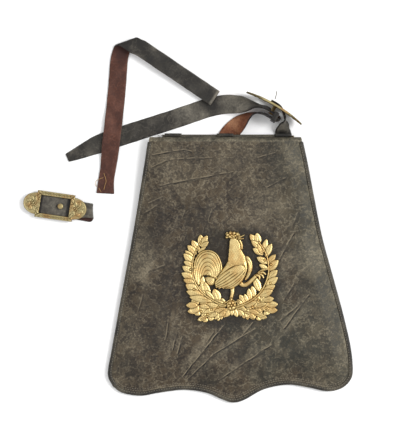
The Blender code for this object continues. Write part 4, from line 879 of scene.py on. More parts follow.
# %% [markdown]
# ## Sharp creases in the finish
#
# The sharpest creases are finer than the sheet's own mesh. Light catches their upper side and shade
# lies in the valley below it, so the finish paints both: a light line as a painted highlight and a dark
# line as painted shade. It measures how far each place on the leather lies from the crease.

# %% Draw the sharp creases
# A dark line of painted shade below each crease and a light line of painted highlight on it: colour, half
# width, how far below
PaintedCreaseLine = namedtuple("PaintedCreaseLine", "shade half below")
PAINTED_CREASE_LINES = [PaintedCreaseLine("#0b0806", 1.0, 1.6), PaintedCreaseLine("#776c58", 0.55, 0.0)]
WAVER = 3.2
WAVER_LONG = 16.0
BROKEN_LONG = 9.0


def draw_creases(finish, creases):
    """Paint a dark line of shade, and a light highlight line above it, along each crease of a leather
    finish.
    """
    tree = finish.node_tree
    shader = tree.nodes["Principled BSDF"]
    place = add(tree, "TexCoord", {}, "Object")
    # A slow noise bends every line a little
    waver = add(tree, "TexNoise", {"Vector": place, "Scale": 1000.0 / WAVER_LONG, "Detail": 1.0}, "Color")
    bent = add(tree, "VectorMath", {0: waver, 1: (WAVER * MM, WAVER * MM, 0.0), 2: place},
               operation="MULTIPLY_ADD")
    shares = [0.0] * len(PAINTED_CREASE_LINES)
    for crease in creases:
        start = np.array([crease.x0, crease.y0]) + WAVER / 2.0
        run = np.array([crease.x1 - crease.x0, crease.y1 - crease.y0])
        long = float(np.hypot(*run))
        way = run / long
        left = np.array([-way[1], way[0]])
        across, along = [add(tree, "VectorMath", {0: bent, 1: (*axis, 0.0)}, "Value",
                             operation="DOT_PRODUCT") for axis in (left, way)]
        # Inside is 1 along the crease and 0 beyond its two ends
        inside = add(tree, "Math", {0: along, 1: (start @ way + long / 2.0) * MM, 2: long / 2.0 * MM},
                     operation="COMPARE")
        inside = add(tree, "Math", {0: inside, 1: crease.strength}, operation="MULTIPLY")
        for number, line in enumerate(PAINTED_CREASE_LINES):
            on_line = add(tree, "Math", {0: across, 1: (start @ left - line.below) * MM, 2: line.half * MM},
                          operation="COMPARE")
            shares[number] = add(tree, "Math", {0: on_line, 1: inside, 2: shares[number]},
                                 operation="MULTIPLY_ADD")
    # The painted shade and highlight lines fade here and there
    broken = add(tree, "TexNoise", {"Vector": place, "Scale": 1000.0 / BROKEN_LONG, "Detail": 2.0})
    broken = add(tree, "MapRange", {"Value": broken, "From Min": 0.38, "From Max": 0.56, "To Min": 0.15})
    colour = shader.inputs["Base Color"].links[0].from_socket
    for share, line in zip(shares, PAINTED_CREASE_LINES):
        share = add(tree, "Math", {0: share, 1: broken}, operation="MULTIPLY", use_clamp=True)
        colour = add(tree, "MixRGB", {"Fac": share, "Color1": colour, "Color2": linear(line.shade)})
    feed(tree, shader, {"Base Color": colour})
    print("sharp creases drawn:", len(creases))


draw_creases(face_leather, CREASES)

# %% [markdown]
# ## The welt
#
# A thin strip of calf is folded round the flap's edge, glued and sewn through, so the thick leather
# never shows its cut side. It is a C-shaped skin about a millimetre thick, and its outer side has gone
# round with handling. The same rim of points carries it down the left side, along the hem and up the
# right side.

# %% Fold the welt round the edge
WELT_THICK = 1.0
WELT_LEG = 3.4
WELT_SLACK = 0.45
WELT_RUB = 0.17
WELT_SOOT = 0.28
WELT_UNEVEN = 0.1

rim = np.concatenate([face[:-1, 0], face[-1], face[-2::-1, -1]])
inside = np.concatenate([face[:-1, 1], face[-2:-1, 1], face[-2, 1:-1], face[-2:-1, -2], face[-2::-1, -2]])
rim_along = unit(np.gradient(rim, axis=0))
rim_out = rim - inside
rim_out = unit(rim_out - rim_along * (rim_out * rim_along).sum(axis=1, keepdims=True))
rim_up = np.cross(rim_along, rim_out)
rim_up *= np.sign(rim_up[:, 2:])

outer = WELT_SLACK + WELT_THICK
bottom = -FLAP_THICK - WELT_SLACK
under = bottom - WELT_THICK
welt_profile = np.array([
    (-WELT_LEG, WELT_SLACK), (WELT_SLACK, WELT_SLACK), (WELT_SLACK, bottom),
    (-WELT_LEG, bottom), (-WELT_LEG, under + 0.25), (-WELT_LEG + 0.3, under), (0.1, under),
    (1.1, under + 0.7), (outer + 0.2, -2.4), (outer + 0.3, -1.3), (outer + 0.2, -0.1), (1.1, 0.9),
    (0.1, outer), (-1.2, outer + 0.05), (-WELT_LEG + 0.3, outer), (-WELT_LEG, outer - 0.25),
])
welt_points, welt_faces = swept(rim, rim_out, rim_up, welt_profile)
welt_points[:, 2] += wander(welt_points, 9.0, 2.0) * WELT_UNEVEN
make_piece("edge_welt", welt_points, welt_faces, [welt_leather], "edge_leather", ("edge_binding",),
           marks={"rub_and_highlight": np.clip(WELT_RUB + 0.3 * wander(welt_points, 20.0), 0.0, 1.0),
                  "soot_and_shade": np.full(len(welt_points), WELT_SOOT)})

# %% [markdown]
# ## The stitching
#
# The welt is held by saddle stitches, about eight to the inch, and two more lines run beside it along
# the hem. Each stitch is a short waxed thread that dips into the leather at both ends. We lay them as
# small sausages of thread on the face, spaced by their real length.

# %% Sew the edges
STITCH_PITCH = 3.3
STITCH_LONG = 2.5
STITCH_SINK = 0.1
THREAD_RADIUS = 0.34
DIP = np.array([-0.9, 0.3, 0.55, 0.3, -0.9])
SWELL_OUT = np.array([0.6, 1.0, 1.05, 1.0, 0.6])
WELT_SEAM_IN = 2.2
HEM_SEAMS_IN = (4.7, 7.2)


def stitches(line, up):
    """Thread stitches along a line of points that lies on leather, with the leather's own upward way."""
    reach = run_lengths(line)
    parts = []
    for start in np.arange(STITCH_PITCH / 2.0, reach[-1] - STITCH_LONG, STITCH_PITCH):
        places = start + STITCH_LONG * np.linspace(0.0, 1.0, len(DIP))
        lift = read_at(places, reach, up) * (THREAD_RADIUS * DIP - STITCH_SINK)[:, None]
        parts.append(wire(read_at(places, reach, line) + lift, THREAD_RADIUS * SWELL_OUT, 6))
    return parts


flap_tree = BVHTree.FromPolygons([Vector(point) for point in flap_points.reshape(-1, 3)],
                                 grid_faces(*flap_points.shape[:2]).tolist())


def on_flap(line):
    """The places on the flap's face straight under a line, and the way up there."""
    found = [flap_tree.ray_cast(Vector((x, y, 60.0)), Vector((0.0, 0.0, -1.0))) for x, y in line[:, :2]]
    return np.array([hit[0] for hit in found]), np.array([hit[1] for hit in found])


hem_part = slice(FLAP_DOWN - 4, FLAP_DOWN + FLAP_OVER + 5)
seams = stitches(rim - rim_out * WELT_SEAM_IN + rim_up * outer, rim_up)
for inset in HEM_SEAMS_IN:
    seams += stitches(*on_flap(rim[hem_part] - rim_out[hem_part] * inset))
make_piece("edge_stitches", *joined(seams), [linen], "edge_leather")

# %% [markdown]
# ## The back and the pocket
#
# Behind the flap is a stiff back of thick leather, raised over the rings at its top end, and on it
# stands the pocket: thin leather pressed round a block, with a rounded shoulder down both sides and
# along the bottom. Only a strip of the back shows at the top, but both are whole pieces here.

# %% Cut the back
BACK_INSET = 15.0
BACK_TOP_Y = 111.1
BACK_BOTTOM_Y = -184.0
BACK_CORNER = 16.0
HINGE_Y = 107.1
HINGE_TRIM = 4.0
BACK_ROWS = 130
BACK_COLUMNS = 71


def panel_rows(top_y, bottom_y, corner, rows, turns):
    """Heights down a panel, set closer together where its lower corners turn."""
    rounded = 1.0 - np.sin(turns * np.pi / 2.0)
    return np.concatenate([np.linspace(top_y, bottom_y + corner, rows), bottom_y + corner * rounded])


def corner_pull(above, radius):
    """How far a rounded lower corner lies in from the side, at a height above the bottom."""
    rest = radius - np.clip(above, 0.0, radius)
    return radius - np.sqrt(radius ** 2 - rest ** 2)


def panel_sides(y, inset):
    """The left and the right side of a panel that is narrower than the flap by an inset at each side."""
    return row_value(y, "left") + inset, row_value(y, "right") - inset


back_y = panel_rows(HINGE_Y - 0.1, BACK_BOTTOM_Y, BACK_CORNER, BACK_ROWS,
                    np.linspace(0.1, 1.0, 8))
back_y = np.concatenate([np.linspace(BACK_TOP_Y, HINGE_Y + 0.1, 4), back_y])
pull = np.where(back_y > HINGE_Y, HINGE_TRIM, corner_pull(back_y - BACK_BOTTOM_Y, BACK_CORNER))
back_left, back_right = panel_sides(back_y, BACK_INSET + pull)
back_x = back_left[:, None] + (back_right - back_left)[:, None] * np.linspace(0.0, 1.0, BACK_COLUMNS)
back_points = np.dstack([back_x, *(np.broadcast_to(value[:, None], back_x.shape)
                                   for value in (back_y, back_rise(back_y) + BACK_THICK))])
back_rub = np.clip(0.35 + 0.4 * wander(back_points, 30.0), 0.0, 1.0)
leather_sheet("back_panel_leather", back_points, BACK_THICK, (welt_leather, red_flesh), "edge_leather",
              "back_panel", {"rub_and_highlight": back_rub, "soot_and_shade": 0.4 * back_rub}, bulge=0.15)

# %% [markdown]
# The pocket's leather starts on the back panel at the left, climbs the shoulder, crosses the front and
# comes down on the right. At the bottom it rolls over in the same way, and it sags a little between
# its sewn sides.

# %% Mould the pocket
POUCH_INSET = 19.0
POUCH_BOTTOM_Y = -172.0
POUCH_CORNER = 9.0
POUCH_ROWS = 110
POUCH_COLUMNS = 61
SAG = 0.25
SAG_RAMP = 30.0
SHOULDER_IN = 3.2 * np.array([0.0, 0.0, 0.12, 0.4, 1.0])
SHOULDER_DOWN = 3.2 * np.array([1.0, 0.55, 0.28, 0.1, 0.0])

pocket_lines = []
for y in panel_rows(MOUTH_Y, POUCH_BOTTOM_Y, POUCH_CORNER, POUCH_ROWS, np.linspace(0.12, 1.0, 9)):
    above = y - POUCH_BOTTOM_Y
    pull = corner_pull(above, POUCH_CORNER)
    left, right = panel_sides(y, POUCH_INSET + pull)
    top = seat_z(y) + (pouch_depth(y) - 0.25 * pull) * (1.0 if above > 0.01 else 0.3)
    rise = top - SHOULDER_DOWN
    rise[0] = seat_z(y)
    middle_x = np.linspace(left + SHOULDER_IN[-1], right - SHOULDER_IN[-1], POUCH_COLUMNS)[1:-1]
    xs = np.concatenate([left + SHOULDER_IN, middle_x, right - SHOULDER_IN[::-1]])
    zs = np.concatenate([rise, np.full(len(middle_x), top), rise[::-1]])
    pocket_lines.append(np.stack([xs, np.full_like(xs, y), zs], axis=1))
last = pocket_lines[-1].copy()
last[:, 2] = seat_z(last[:, 1])
pocket = np.array(pocket_lines + [last])
from_seam = np.abs(pocket[:, :, :1] - pocket[:, (0, -1), 0][:, None]).min(axis=2)
pocket[..., 2] -= smoothstep(from_seam / SAG_RAMP) * (SAG + 0.2 * wander(pocket, 40.0, 8.0))
pocket_rub = np.clip(0.25 + 0.4 * wander(pocket, 24.0), 0.0, 1.0)
leather_sheet("pocket_front", pocket, POUCH_THICK, (face_leather, welt_leather), "edge_leather",
              "pouch_front", {"rub_and_highlight": pocket_rub, "soot_and_shade": pocket_rub}, bulge=0.0, lowest=seat_z)

# %% [markdown]
# ## The top seam
#
# Where the flap rolls over the back, two lines of dark thread run straight across, close to the fold,
# and a third holds the strip of the back that shows above it.

# %% Sew the top
FOLD_SEAMS_Y = (105.8, 103.0)
BACK_SEAM_Y = 109.6
TOP_SEAM_X = (-49.0, 145.0)

top_x = np.linspace(*TOP_SEAM_X, 160)
top_seams = []
for seam_y in FOLD_SEAMS_Y:
    top_seams += stitches(*on_flap(np.array([(x, seam_y) for x in top_x])))
back_seam = np.array([(x, BACK_SEAM_Y, back_rise(BACK_SEAM_Y) + BACK_THICK) for x in top_x[6:-6]])
top_seams += stitches(back_seam, np.tile([0.0, 0.0, 1.0], (len(back_seam), 1)))
make_piece("top_stitches", *joined(top_seams), [dark_thread], "edge_leather")

# %% [markdown]
# ## Straps
#
# The slings are straps of bridle leather 1.8 mm thick. A strap is a middle line with a direction
# across it and a width at each point, and a "roll" turns its face away from lying flat. From those we
# get the strap's face, cup it across, press soft ripples into it, and hand it to the leather helper.

# %% Helpers that make a strap
STRAP_THICK = 1.8
FLOOR_CLEAR = 0.2
CUP = 0.18
RAGGED = 0.012
Strap = namedtuple("Strap", "middle across width")


def strap_from_rows(rows, steps):
    """A strap along a smooth line through rows of x, y, z, roll and width, kept above the table."""
    line = smooth_line(rows, steps)
    flat = np.gradient(line[:, :2], axis=0)
    level = unit(np.stack([-flat[:, 1], flat[:, 0], np.zeros(len(flat))], axis=1))
    turn = np.radians(line[:, 3])
    across = level * np.cos(turn)[:, None]
    across[:, 2] = np.sin(turn)
    lowest = FLOOR_CLEAR + (np.abs(np.sin(turn)) * line[:, 4] + np.abs(np.cos(turn)) * STRAP_THICK) / 2.0
    middle = line[:, :3].copy()
    middle[:, 2] = np.maximum(middle[:, 2], lowest)
    return Strap(middle, unit(across), line[:, 4])


def strap_across_x(x, line, width):
    """A strap whose width lies along x, from the y and z of the places on its middle line."""
    middle = np.array([(x, y, z) for y, z in line])
    return Strap(middle, np.tile([-1.0, 0.0, 0.0], (len(middle), 1)), np.full(len(middle), width))


def arc(middle, radius, angles):
    """Places on a circle, at angles in degrees."""
    return [(middle[0] + radius * way[0], middle[1] + radius * way[1]) for way in ways(angles)]


def end_to_end(straps):
    """Several straps as one."""
    return Strap(*(np.concatenate(part) for part in zip(*straps)))


def strap_face(strap, columns, seed, ripple=0.12, thick=STRAP_THICK):
    """Points of a strap's grain face, slightly cupped and rippled as old leather is."""
    up = unit(np.cross(unit(np.gradient(strap.middle, axis=0)), strap.across))
    share = np.linspace(-0.5, 0.5, columns)
    width = strap.width * (1.0 - RAGGED * (1.0 + wander(strap.middle, 7.0, seed)))
    face = (strap.middle[:, None] + up[:, None] * (thick / 2.0)
            + strap.across[:, None] * width[:, None, None] * share[None, :, None])
    cup = CUP * (1.0 - 4.0 * share ** 2)[None, :] + ripple * wander(face, 6.0, seed + 4.0)
    return face - up[:, None] * (CUP - np.minimum(cup, CUP))[..., None]


print("strap helpers ready")

# %% [markdown]
# The slings are paler where they bent and rubbed, and black in places. Under the loose sling's fold
# and along the edges beside the standing buckle the black is painted shade. All of that could be
# painted on by hand. Here, as on the flap, each such length is a named place with a radius and a
# strength, so it can be moved when it is compared with the photo.

# %% Mark the straps' wear
STRAP_RUBBED = [Patch(*row) for row in (
    (6, 140, 30, 0.55), (62, 151, 30, 0.5), (-100, 120, 14, 0.2),
    (118, 122, 14, 0.7), (-40, 206, 14, 0.2), (-97, 150, 20, 0.15),
    (-128, 92, 14, 0.25),
)]
# Dark lengths: old black, and painted shade under the loose sling's fold and beside the standing buckle
STRAP_BLACK_AND_SHADE = [Patch(*row) for row in (
    (-69, 108, 24, 0.5), (-41, 119, 16, 0.35), (-132, 101, 26, 0.45),
    (-66, 230, 18, 0.4), (24, 158, 24, 0.8), (-88, 224, 18, 0.9),
    (-6, 180, 26, 0.7), (-109, 42, 12, 0.4), (-34, 204, 24, 0.6),
    (109, 142, 20, 1), (123.6, 108, 10, 0.9), (88, 138, 10, 0.8),
)]
# Round the standing buckle the strap edges get painted shade, and their rub is lessened there
BUCKLE_SHADE = (108.0, 134.0)
SHADE_REACH = 30.0


def strap_marks(face, seed, edge_rub=0.35, edge_shade=0.0):
    """Marks for a strap: rubbed edges, painted shade on edges by the standing buckle, paler or darker
    lengths.
    """
    edge = smoothstep((np.abs(np.linspace(-1.0, 1.0, face.shape[1]))[None, :] - 0.8) / 0.2)
    from_buckle = np.hypot(face[..., 0] - BUCKLE_SHADE[0], face[..., 1] - BUCKLE_SHADE[1])
    in_buckle_shade = 1.0 - smoothstep(from_buckle / SHADE_REACH - 0.8)
    rub_and_highlight = edge_rub * edge * (1.0 - in_buckle_shade) + 0.03 + 0.2 * wander(face, 12.0, seed)
    soot_and_shade = 0.1 + 0.3 * wander(face, 20.0, seed + 9.0) + patches(face, STRAP_BLACK_AND_SHADE)
    soot_and_shade = np.maximum(soot_and_shade, edge_shade * edge * in_buckle_shade)
    rub_and_highlight = np.clip(rub_and_highlight + patches(face, STRAP_RUBBED) - 0.5 * soot_and_shade * in_buckle_shade, 0.0, 1.0)
    return {"rub_and_highlight": rub_and_highlight, "soot_and_shade": np.clip(soot_and_shade, 0.0, 1.0)}


print("worn lengths:", len(STRAP_RUBBED), "black lengths:", len(STRAP_BLACK_AND_SHADE))

# %% [markdown]
# ## Rings and tabs
#
# Three brass rings hang from leather tabs that fold over the back's top edge. Each ring is a rounded
# rectangle bent from wire and brazed. They lie under the bag, and only their tabs' folds peek out.

# %% Bend the rings and fold the tabs
RING_X = {"left": -20.0, "centre": 47.6, "right": 123.4}
RING_WIRE = 2.6
RING_INNER = 26.0
RING_CORNER = 4.0
RING_BAR = (109.4, 5.6)
RING_BOW = (88.5, 3.5)
TAB_THICK = 1.4
TAB_WIDTH = 22.0


def rounded_loop(half_x, half_y, corner, turns):
    """Places round a rounded rectangle, each with its way out."""
    loop = []
    for quarter, (side_x, side_y) in enumerate([(1, 1), (-1, 1), (-1, -1), (1, -1)]):
        for way in ways(np.linspace(0.0, 90.0, turns) + 90.0 * quarter):
            loop.append((side_x * (half_x - corner) + corner * way[0],
                         side_y * (half_y - corner) + corner * way[1], *way))
    return np.array(loop)


half_y = (RING_BAR[0] - RING_BOW[0]) / 2.0
loop = rounded_loop((RING_INNER + RING_WIRE) / 2.0, half_y, RING_CORNER, 8)
share = (loop[:, 1] + half_y) / (2.0 * half_y)
loop = np.stack([loop[:, 0], (RING_BAR[0] + RING_BOW[0]) / 2.0 + loop[:, 1],
                 RING_BOW[1] + (RING_BAR[1] - RING_BOW[1]) * share], axis=1)
around = RING_WIRE / 2.0 + GAP + TAB_THICK / 2.0
edge_y = BACK_TOP_Y + GAP + TAB_THICK / 2.0
top_z = BACK_RISE + BACK_THICK + GAP + TAB_THICK / 2.0
under_z = BACK_RISE - GAP - TAB_THICK / 2.0
tab_line = [(108.4, top_z), (edge_y - 1.6, top_z), (edge_y - 0.8, top_z), (edge_y - 0.2, top_z - 0.2),
            (edge_y, top_z - 0.8), (edge_y, top_z - 2.4), (edge_y, RING_BAR[1] + 0.6),
            *arc(RING_BAR, around, np.linspace(-20.0, -160.0, 12)),
            (RING_BAR[0] - around - 0.6, RING_BAR[1] + 0.4), (RING_BAR[0] - around - 2.4, under_z),
            (RING_BAR[0] - around - 5.2, under_z)]
for side, ring_x in RING_X.items():
    points, faces = wire(loop + (ring_x, 0.0, 0.0), RING_WIRE / 2.0, 14, around=True)
    hollow = np.clip(0.85 + 0.4 * wander(points, 5.0, ring_x), 0.0, 1.0)
    make_piece("ring_" + side + "_wire", points, faces, [brass], "brass", ("ring_" + side,),
               marks={"hollow": hollow})
    tab_face = strap_face(strap_across_x(ring_x, tab_line, TAB_WIDTH), 12, ring_x, 0.05, TAB_THICK)
    leather_sheet("tab_" + side, tab_face, TAB_THICK, (welt_leather, red_flesh), "edge_leather",
                  "ring_tab_" + side, strap_marks(tab_face, ring_x), bulge=0.1)

# %% [markdown]
# ## The long sling
#
# The long sling lies flat from its pointed end, then rises and turns on edge to pass behind the
# standing buckle. There it turns back, and its short leg, flesh side up, arches down to the middle
# ring and turns round it. That is one strap, so it is one line of rows.

# %% Lay the long sling
STANDING_PLACE = (110.8, 144.6)
STANDING_TURN = math.radians(-30.4)
SLING_WIDE = 23.4
SLING_END_WIDE = 23.6
SLING_TAIL = [
    (-158.4, 81.3, 1.1, 0, 11), (-146.2, 86.4, 1.1, 0, 15.6), (-130.3, 93.7, 1.1, 0, 20.4),
    (-115, 100.1, 1.1, 0, 24.2), (-87.7, 109.6, 1.1, 0, 24.8), (-53.9, 120.6, 1.1, 0, 24.8),
    (-21.4, 131, 1.1, 0, 24.8), (7.2, 140.6, 1.1, 0, 24.6), (26.7, 147, 1.4, 0, 24.6),
    (47.5, 151, 3.6, 0, 24.6), (64.4, 150.6, 8.8, -14, 24.4), (76.1, 150, 12.6, -44, 24.2),
    (85.2, 149.4, 15.6, -68, 24), (94.3, 147.4, 17, -78, 23.6),
]
SLING_THROUGH = [
    (-8, 3.8, 17.4, -77, SLING_WIDE), (-1, 4.4, 17.4, -79, SLING_WIDE),
    (6, 5.4, 17.4, -85, SLING_WIDE), (11.5, 6, 17.2, -90, SLING_WIDE),
    (14, 8.6, 17, -90, SLING_WIDE), (11.6, 11.4, 16.8, -90, SLING_WIDE),
    (6.5, 12.2, 16.6, -90, SLING_WIDE),
]
SLING_LEG = [
    (103.6, 134.6, 15.6, -90, 23.2), (98, 137.6, 14.6, -90, 23), (91, 139, 13.6, -92, 22.8),
    (83.6, 138.2, 12.6, -100, 22.6), (76.1, 134.4, 11.6, -117, 22.4), (69, 128.8, 9, -140, 22.4),
    (62, 122.2, 4.2, -165, 22.6), (56.2, 116.6, 1.2, -180, 22.8), (51.6, 111, 1.1, -180, 23),
    (48.4, 104.6, 1.1, -180, 23.4), (47.6, 98, 1.1, -180, 23.6),
]


def beside_buckle(row):
    """A row given along, out from and above the standing buckle, as a row on the table."""
    along, out, z, roll, width = row
    x = STANDING_PLACE[0] + along * math.cos(STANDING_TURN) + out * math.sin(STANDING_TURN)
    y = STANDING_PLACE[1] + along * math.sin(STANDING_TURN) - out * math.cos(STANDING_TURN)
    return x, y, z, roll, width


ring_reach = RING_WIRE / 2.0 + GAP + STRAP_THICK / 2.0
over_ring = RING_BOW[1] + ring_reach
sling_turn = arc(RING_BOW, ring_reach, np.arange(270.0, 89.0, -15.0))
sling_turn += [(93.0, over_ring), (99.0, over_ring)]
sling = end_to_end([
    strap_from_rows(SLING_TAIL + [beside_buckle(row) for row in SLING_THROUGH] + SLING_LEG, 6),
    strap_across_x(RING_X["centre"], sling_turn, SLING_END_WIDE),
])
sling_points = strap_face(sling, 13, 1.0)
leather_sheet("long_sling", sling_points, STRAP_THICK, (grain_side, tan_flesh), "strap_leather",
              "sling_strap", strap_marks(sling_points, 1.0, 0.0, 1.0))

# %% [markdown]
# ## The right ring's strap
#
# A shorter strap turns round the right ring, rises on edge and passes through the buckle's window,
# where the stud holds it. It is made of two lines of rows: one round the ring, with its width along
# the ring's bar, and one up to the buckle, which can turn its face as it goes.

# %% Lay the buckle strap
CHAPE_WIDE = 21.0
CHAPE_RISE = [(123.4, 98, 1.1, 0, CHAPE_WIDE), (123.4, 105, 1.1, 0, CHAPE_WIDE),
              (123.6, 113.6, 1.6, 2.5, CHAPE_WIDE), (124.8, 120.6, 8.2, 41, CHAPE_WIDE),
              (126.4, 125.6, 13, 66, CHAPE_WIDE)]
CHAPE_THROUGH = [
    (19.6, 4.2, 16.8, 88, CHAPE_WIDE), (16.2, 0.2, 17.4, 90, CHAPE_WIDE),
    (10.8, -4, 17.6, 90, CHAPE_WIDE), (4.8, -6.6, 17.6, 90, CHAPE_WIDE),
    (-2.4, -7.2, 17.6, 90, CHAPE_WIDE), (-8, -7, 17.5, 90, CHAPE_WIDE),
]

chape_turn = [(99.0, over_ring), (94.0, over_ring)] + arc(RING_BOW, ring_reach, np.arange(90.0, 271.0, 15.0))
chape = end_to_end([
    strap_across_x(RING_X["right"], chape_turn, CHAPE_WIDE),
    strap_from_rows(CHAPE_RISE + [beside_buckle(row) for row in CHAPE_THROUGH], 6),
])
chape_points = strap_face(chape, 12, 2.0, ripple=0.08)
leather_sheet("buckle_strap", chape_points, STRAP_THICK, (grain_side, red_flesh), "strap_leather",
              "buckle_chape", strap_marks(chape_points, 2.0, 0.0, 1.0))

# %% [markdown]
# The keeper is a narrow loop of leather that holds the sling's two runs together beside the buckle. A
# cube with a hole would look like metal. So a thin section with a rounded outer face is carried once
# round the two runs. It gets a painted highlight along its rims and painted shade over the rest.

# %% Close the keeper
KEEPER_ALONG = 3.6
KEEPER_LONG = 6.4
KEEPER_THICK = 1.2
KEEPER_CORNER = 0.4
KEEPER_SLACK = 0.3
KEEPER_BELOW = 1.2
KEEPER_ABOVE = 0.6
RUNS_OUT = (5.5, 12.2)
RUNS_Z = (16.6, 17.4)
# Each point of the profile: along the strap, out from the runs, and the painted highlight on it
KEEPER_PROFILE = [
    (0.0, 0.0, 0.0), (KEEPER_LONG, 0.0, 0.0), (KEEPER_LONG, KEEPER_THICK * 0.7, 0.6),
    (KEEPER_LONG - 0.4, KEEPER_THICK, 0.1), (KEEPER_LONG / 2.0, KEEPER_THICK + 0.1, 0.0),
    (0.4, KEEPER_THICK, 0.1), (0.0, KEEPER_THICK * 0.7, 0.6),
]

room = STRAP_THICK / 2.0 + GAP + KEEPER_SLACK
near_out, far_out = RUNS_OUT[0] - room, RUNS_OUT[1] + room + KEEPER_SLACK
low_z = RUNS_Z[0] - SLING_WIDE / 2.0 - KEEPER_BELOW
high_z = RUNS_Z[1] + SLING_WIDE / 2.0 + KEEPER_ABOVE
band = rounded_loop((far_out - near_out) / 2.0, (high_z - low_z) / 2.0, KEEPER_CORNER, 6)
band += ((near_out + far_out) / 2.0, (low_z + high_z) / 2.0, 0.0, 0.0)
keeper_points = np.array([
    beside_buckle((KEEPER_ALONG + along, out + way_out * thick, z + way_z * thick, 0.0, 0.0))[:3]
    for out, z, way_out, way_z in band for along, thick, _ in KEEPER_PROFILE])
keeper_faces = grid_faces(len(band) + 1, len(KEEPER_PROFILE), around=True) % len(keeper_points)
# Painted highlight on the rims, painted shade elsewhere
keeper_highlight = np.tile([rub_and_highlight for _, _, rub_and_highlight in KEEPER_PROFILE], len(band))
make_piece("sling_keeper", keeper_points, keeper_faces, [grain_side], "strap_leather", ("buckle_keeper",),
           marks={"rub_and_highlight": keeper_highlight, "soot_and_shade": 1.0 - 1.5 * keeper_highlight})

# %% [markdown]
# ## The loose sling
#
# This strap has torn off. Its upper arm lies grain side up, rolls over in a soft slanting fold and
# comes back down flesh side up, red-brown, over the long sling. The roll is the strap's own surface
# bent round a small cylinder, so its length stays the same.

# %% Lay the loose sling
LOOSE_WIDE = 21.8
LOOSE_UPPER = [(34.6, 158.8, 6.2, 0, 21.6), (8, 176.6, 7.6, 0, LOOSE_WIDE),
               (-20, 195.4, 9.2, 0, LOOSE_WIDE), (-50, 215.6, 10.2, 0, LOOSE_WIDE),
               (-63, 224.3, 10.3, 0, LOOSE_WIDE)]
LOOSE_LOWER = [
    (-91, 206, 1.1, 180, 22.8), (-93, 178, 1.1, 180, 23), (-95.4, 152, 1.4, 180, 23),
    (-97.4, 132, 3.7, 180, 23), (-98.7, 120, 4.1, 180, 23.2), (-100.9, 103, 4.1, 180, 23.4),
    (-102.4, 89, 3.7, 180, 22.8), (-105, 68, 1.4, 180, 20.4), (-107.6, 52, 1.1, 180, 20.6),
    (-108.8, 34.8, 1.1, 180, 23.2),
]
LOOSE_COLUMNS = 13
FOLD_START = np.array([-74.5, 230.3])
FOLD_TOP_Z = 11.2
FOLD_RADIUS = 5.5
FOLD_ALONG = ways([200.0])[0]


def fold_over(heading, columns, steps):
    """Lines of points across the loose sling where it rolls over its slanting fold."""
    left = np.array([-heading[1], heading[0]])
    forward = unit(heading - FOLD_ALONG * (heading @ FOLD_ALONG))
    half_turn = math.pi * FOLD_RADIUS
    slant = abs(left @ forward) * LOOSE_WIDE / 2.0
    pace = heading @ forward
    run = np.linspace(-slant / pace, (half_turn + slant) / pace, steps)[:, None, None]
    # These are the places on the flat strap, and how far each lies past the fold's line
    flat = heading * run + left * (LOOSE_WIDE * np.linspace(-0.5, 0.5, columns))[None, :, None]
    ahead = flat @ forward
    turn = np.clip(ahead / FOLD_RADIUS, 0.0, math.pi)
    beyond = np.minimum(ahead, 0.0) - np.maximum(ahead - half_turn, 0.0)
    reach = beyond + FOLD_RADIUS * np.sin(turn)
    level = FOLD_START + FOLD_ALONG * (flat @ FOLD_ALONG)[..., None] + forward * reach[..., None]
    return np.dstack([level, FOLD_TOP_Z - FOLD_RADIUS + FOLD_RADIUS * np.cos(turn)])


heading = unit(np.subtract(LOOSE_UPPER[-1][:2], LOOSE_UPPER[-2][:2]))
fold_points = fold_over(heading, LOOSE_COLUMNS, 40)
fold_end = (fold_points[-1, 0] + fold_points[-1, -1]) / 2.0 + (0.0, 0.0, STRAP_THICK / 2.0)
lower_rows = [(*fold_end, 180.0, LOOSE_WIDE)] + LOOSE_LOWER
upper_face = strap_face(strap_from_rows(LOOSE_UPPER, 10), LOOSE_COLUMNS, 3.0)
lower_face = strap_face(strap_from_rows(lower_rows, 8), LOOSE_COLUMNS, 6.0)
loose_points = np.concatenate([upper_face[:-1], fold_points, lower_face[1:]])
loose_marks = strap_marks(loose_points, 3.0)
# A painted highlight along the cut end of the upper arm: its first two rows are pale and free of black
loose_marks["rub_and_highlight"][:2] = 0.7
loose_marks["soot_and_shade"][:2] = 0.0
leather_sheet("loose_sling", loose_points, STRAP_THICK, (grain_side, red_flesh), "flesh_leather",
              "loose_strap", loose_marks)

# %% [markdown]
# ## Relief, the way a founder's pattern is carved
#
# The badge and the buckles are castings in low relief, and a relief is a height over a plane. So we
# carve them as one: a fine square grid of heights, on which each leaf, feather or bar is laid like a
# piece of wax. Where a new form comes down on the others, a fine groove is cut round it, and that is
# what draws the dark lines between the leaves. Sculpting by hand would do as well, but then no leaf
# could be moved again.

# %% Lay wax on a plate
Relief = namedtuple("Relief", "x y inside height step")
MARGIN = 1.6
GROOVE_WIDE = 0.42


def blank(half_x, half_y, step):
    """An empty plate of wax about its middle."""
    x, y = np.meshgrid(np.arange(-half_x, half_x, step), np.arange(-half_y, half_y, step))
    return Relief(x, y, np.full(x.shape, -5.0), np.zeros(x.shape), step)


def window(relief, points, margin):
    """The part of the plate near some points, and its places."""
    low, high = np.min(points, axis=0) - margin, np.max(points, axis=0) + margin
    columns = np.searchsorted(relief.x[0], (low[0], high[0]))
    rows = np.searchsorted(relief.y[:, 0], (low[1], high[1]))
    part = slice(*rows), slice(*columns)
    return part, relief.x[part], relief.y[part]


def lay(relief, part, inside, height, groove):
    """Lay a form over the plate: inside is how deep in its outline each place is."""
    under = relief.height[part] * (1.0 - groove * bell(np.minimum(inside, 0.0), GROOVE_WIDE))
    relief.height[part] = np.where(inside > 0.0, height, under)
    relief.inside[part] = np.maximum(relief.inside[part], inside)


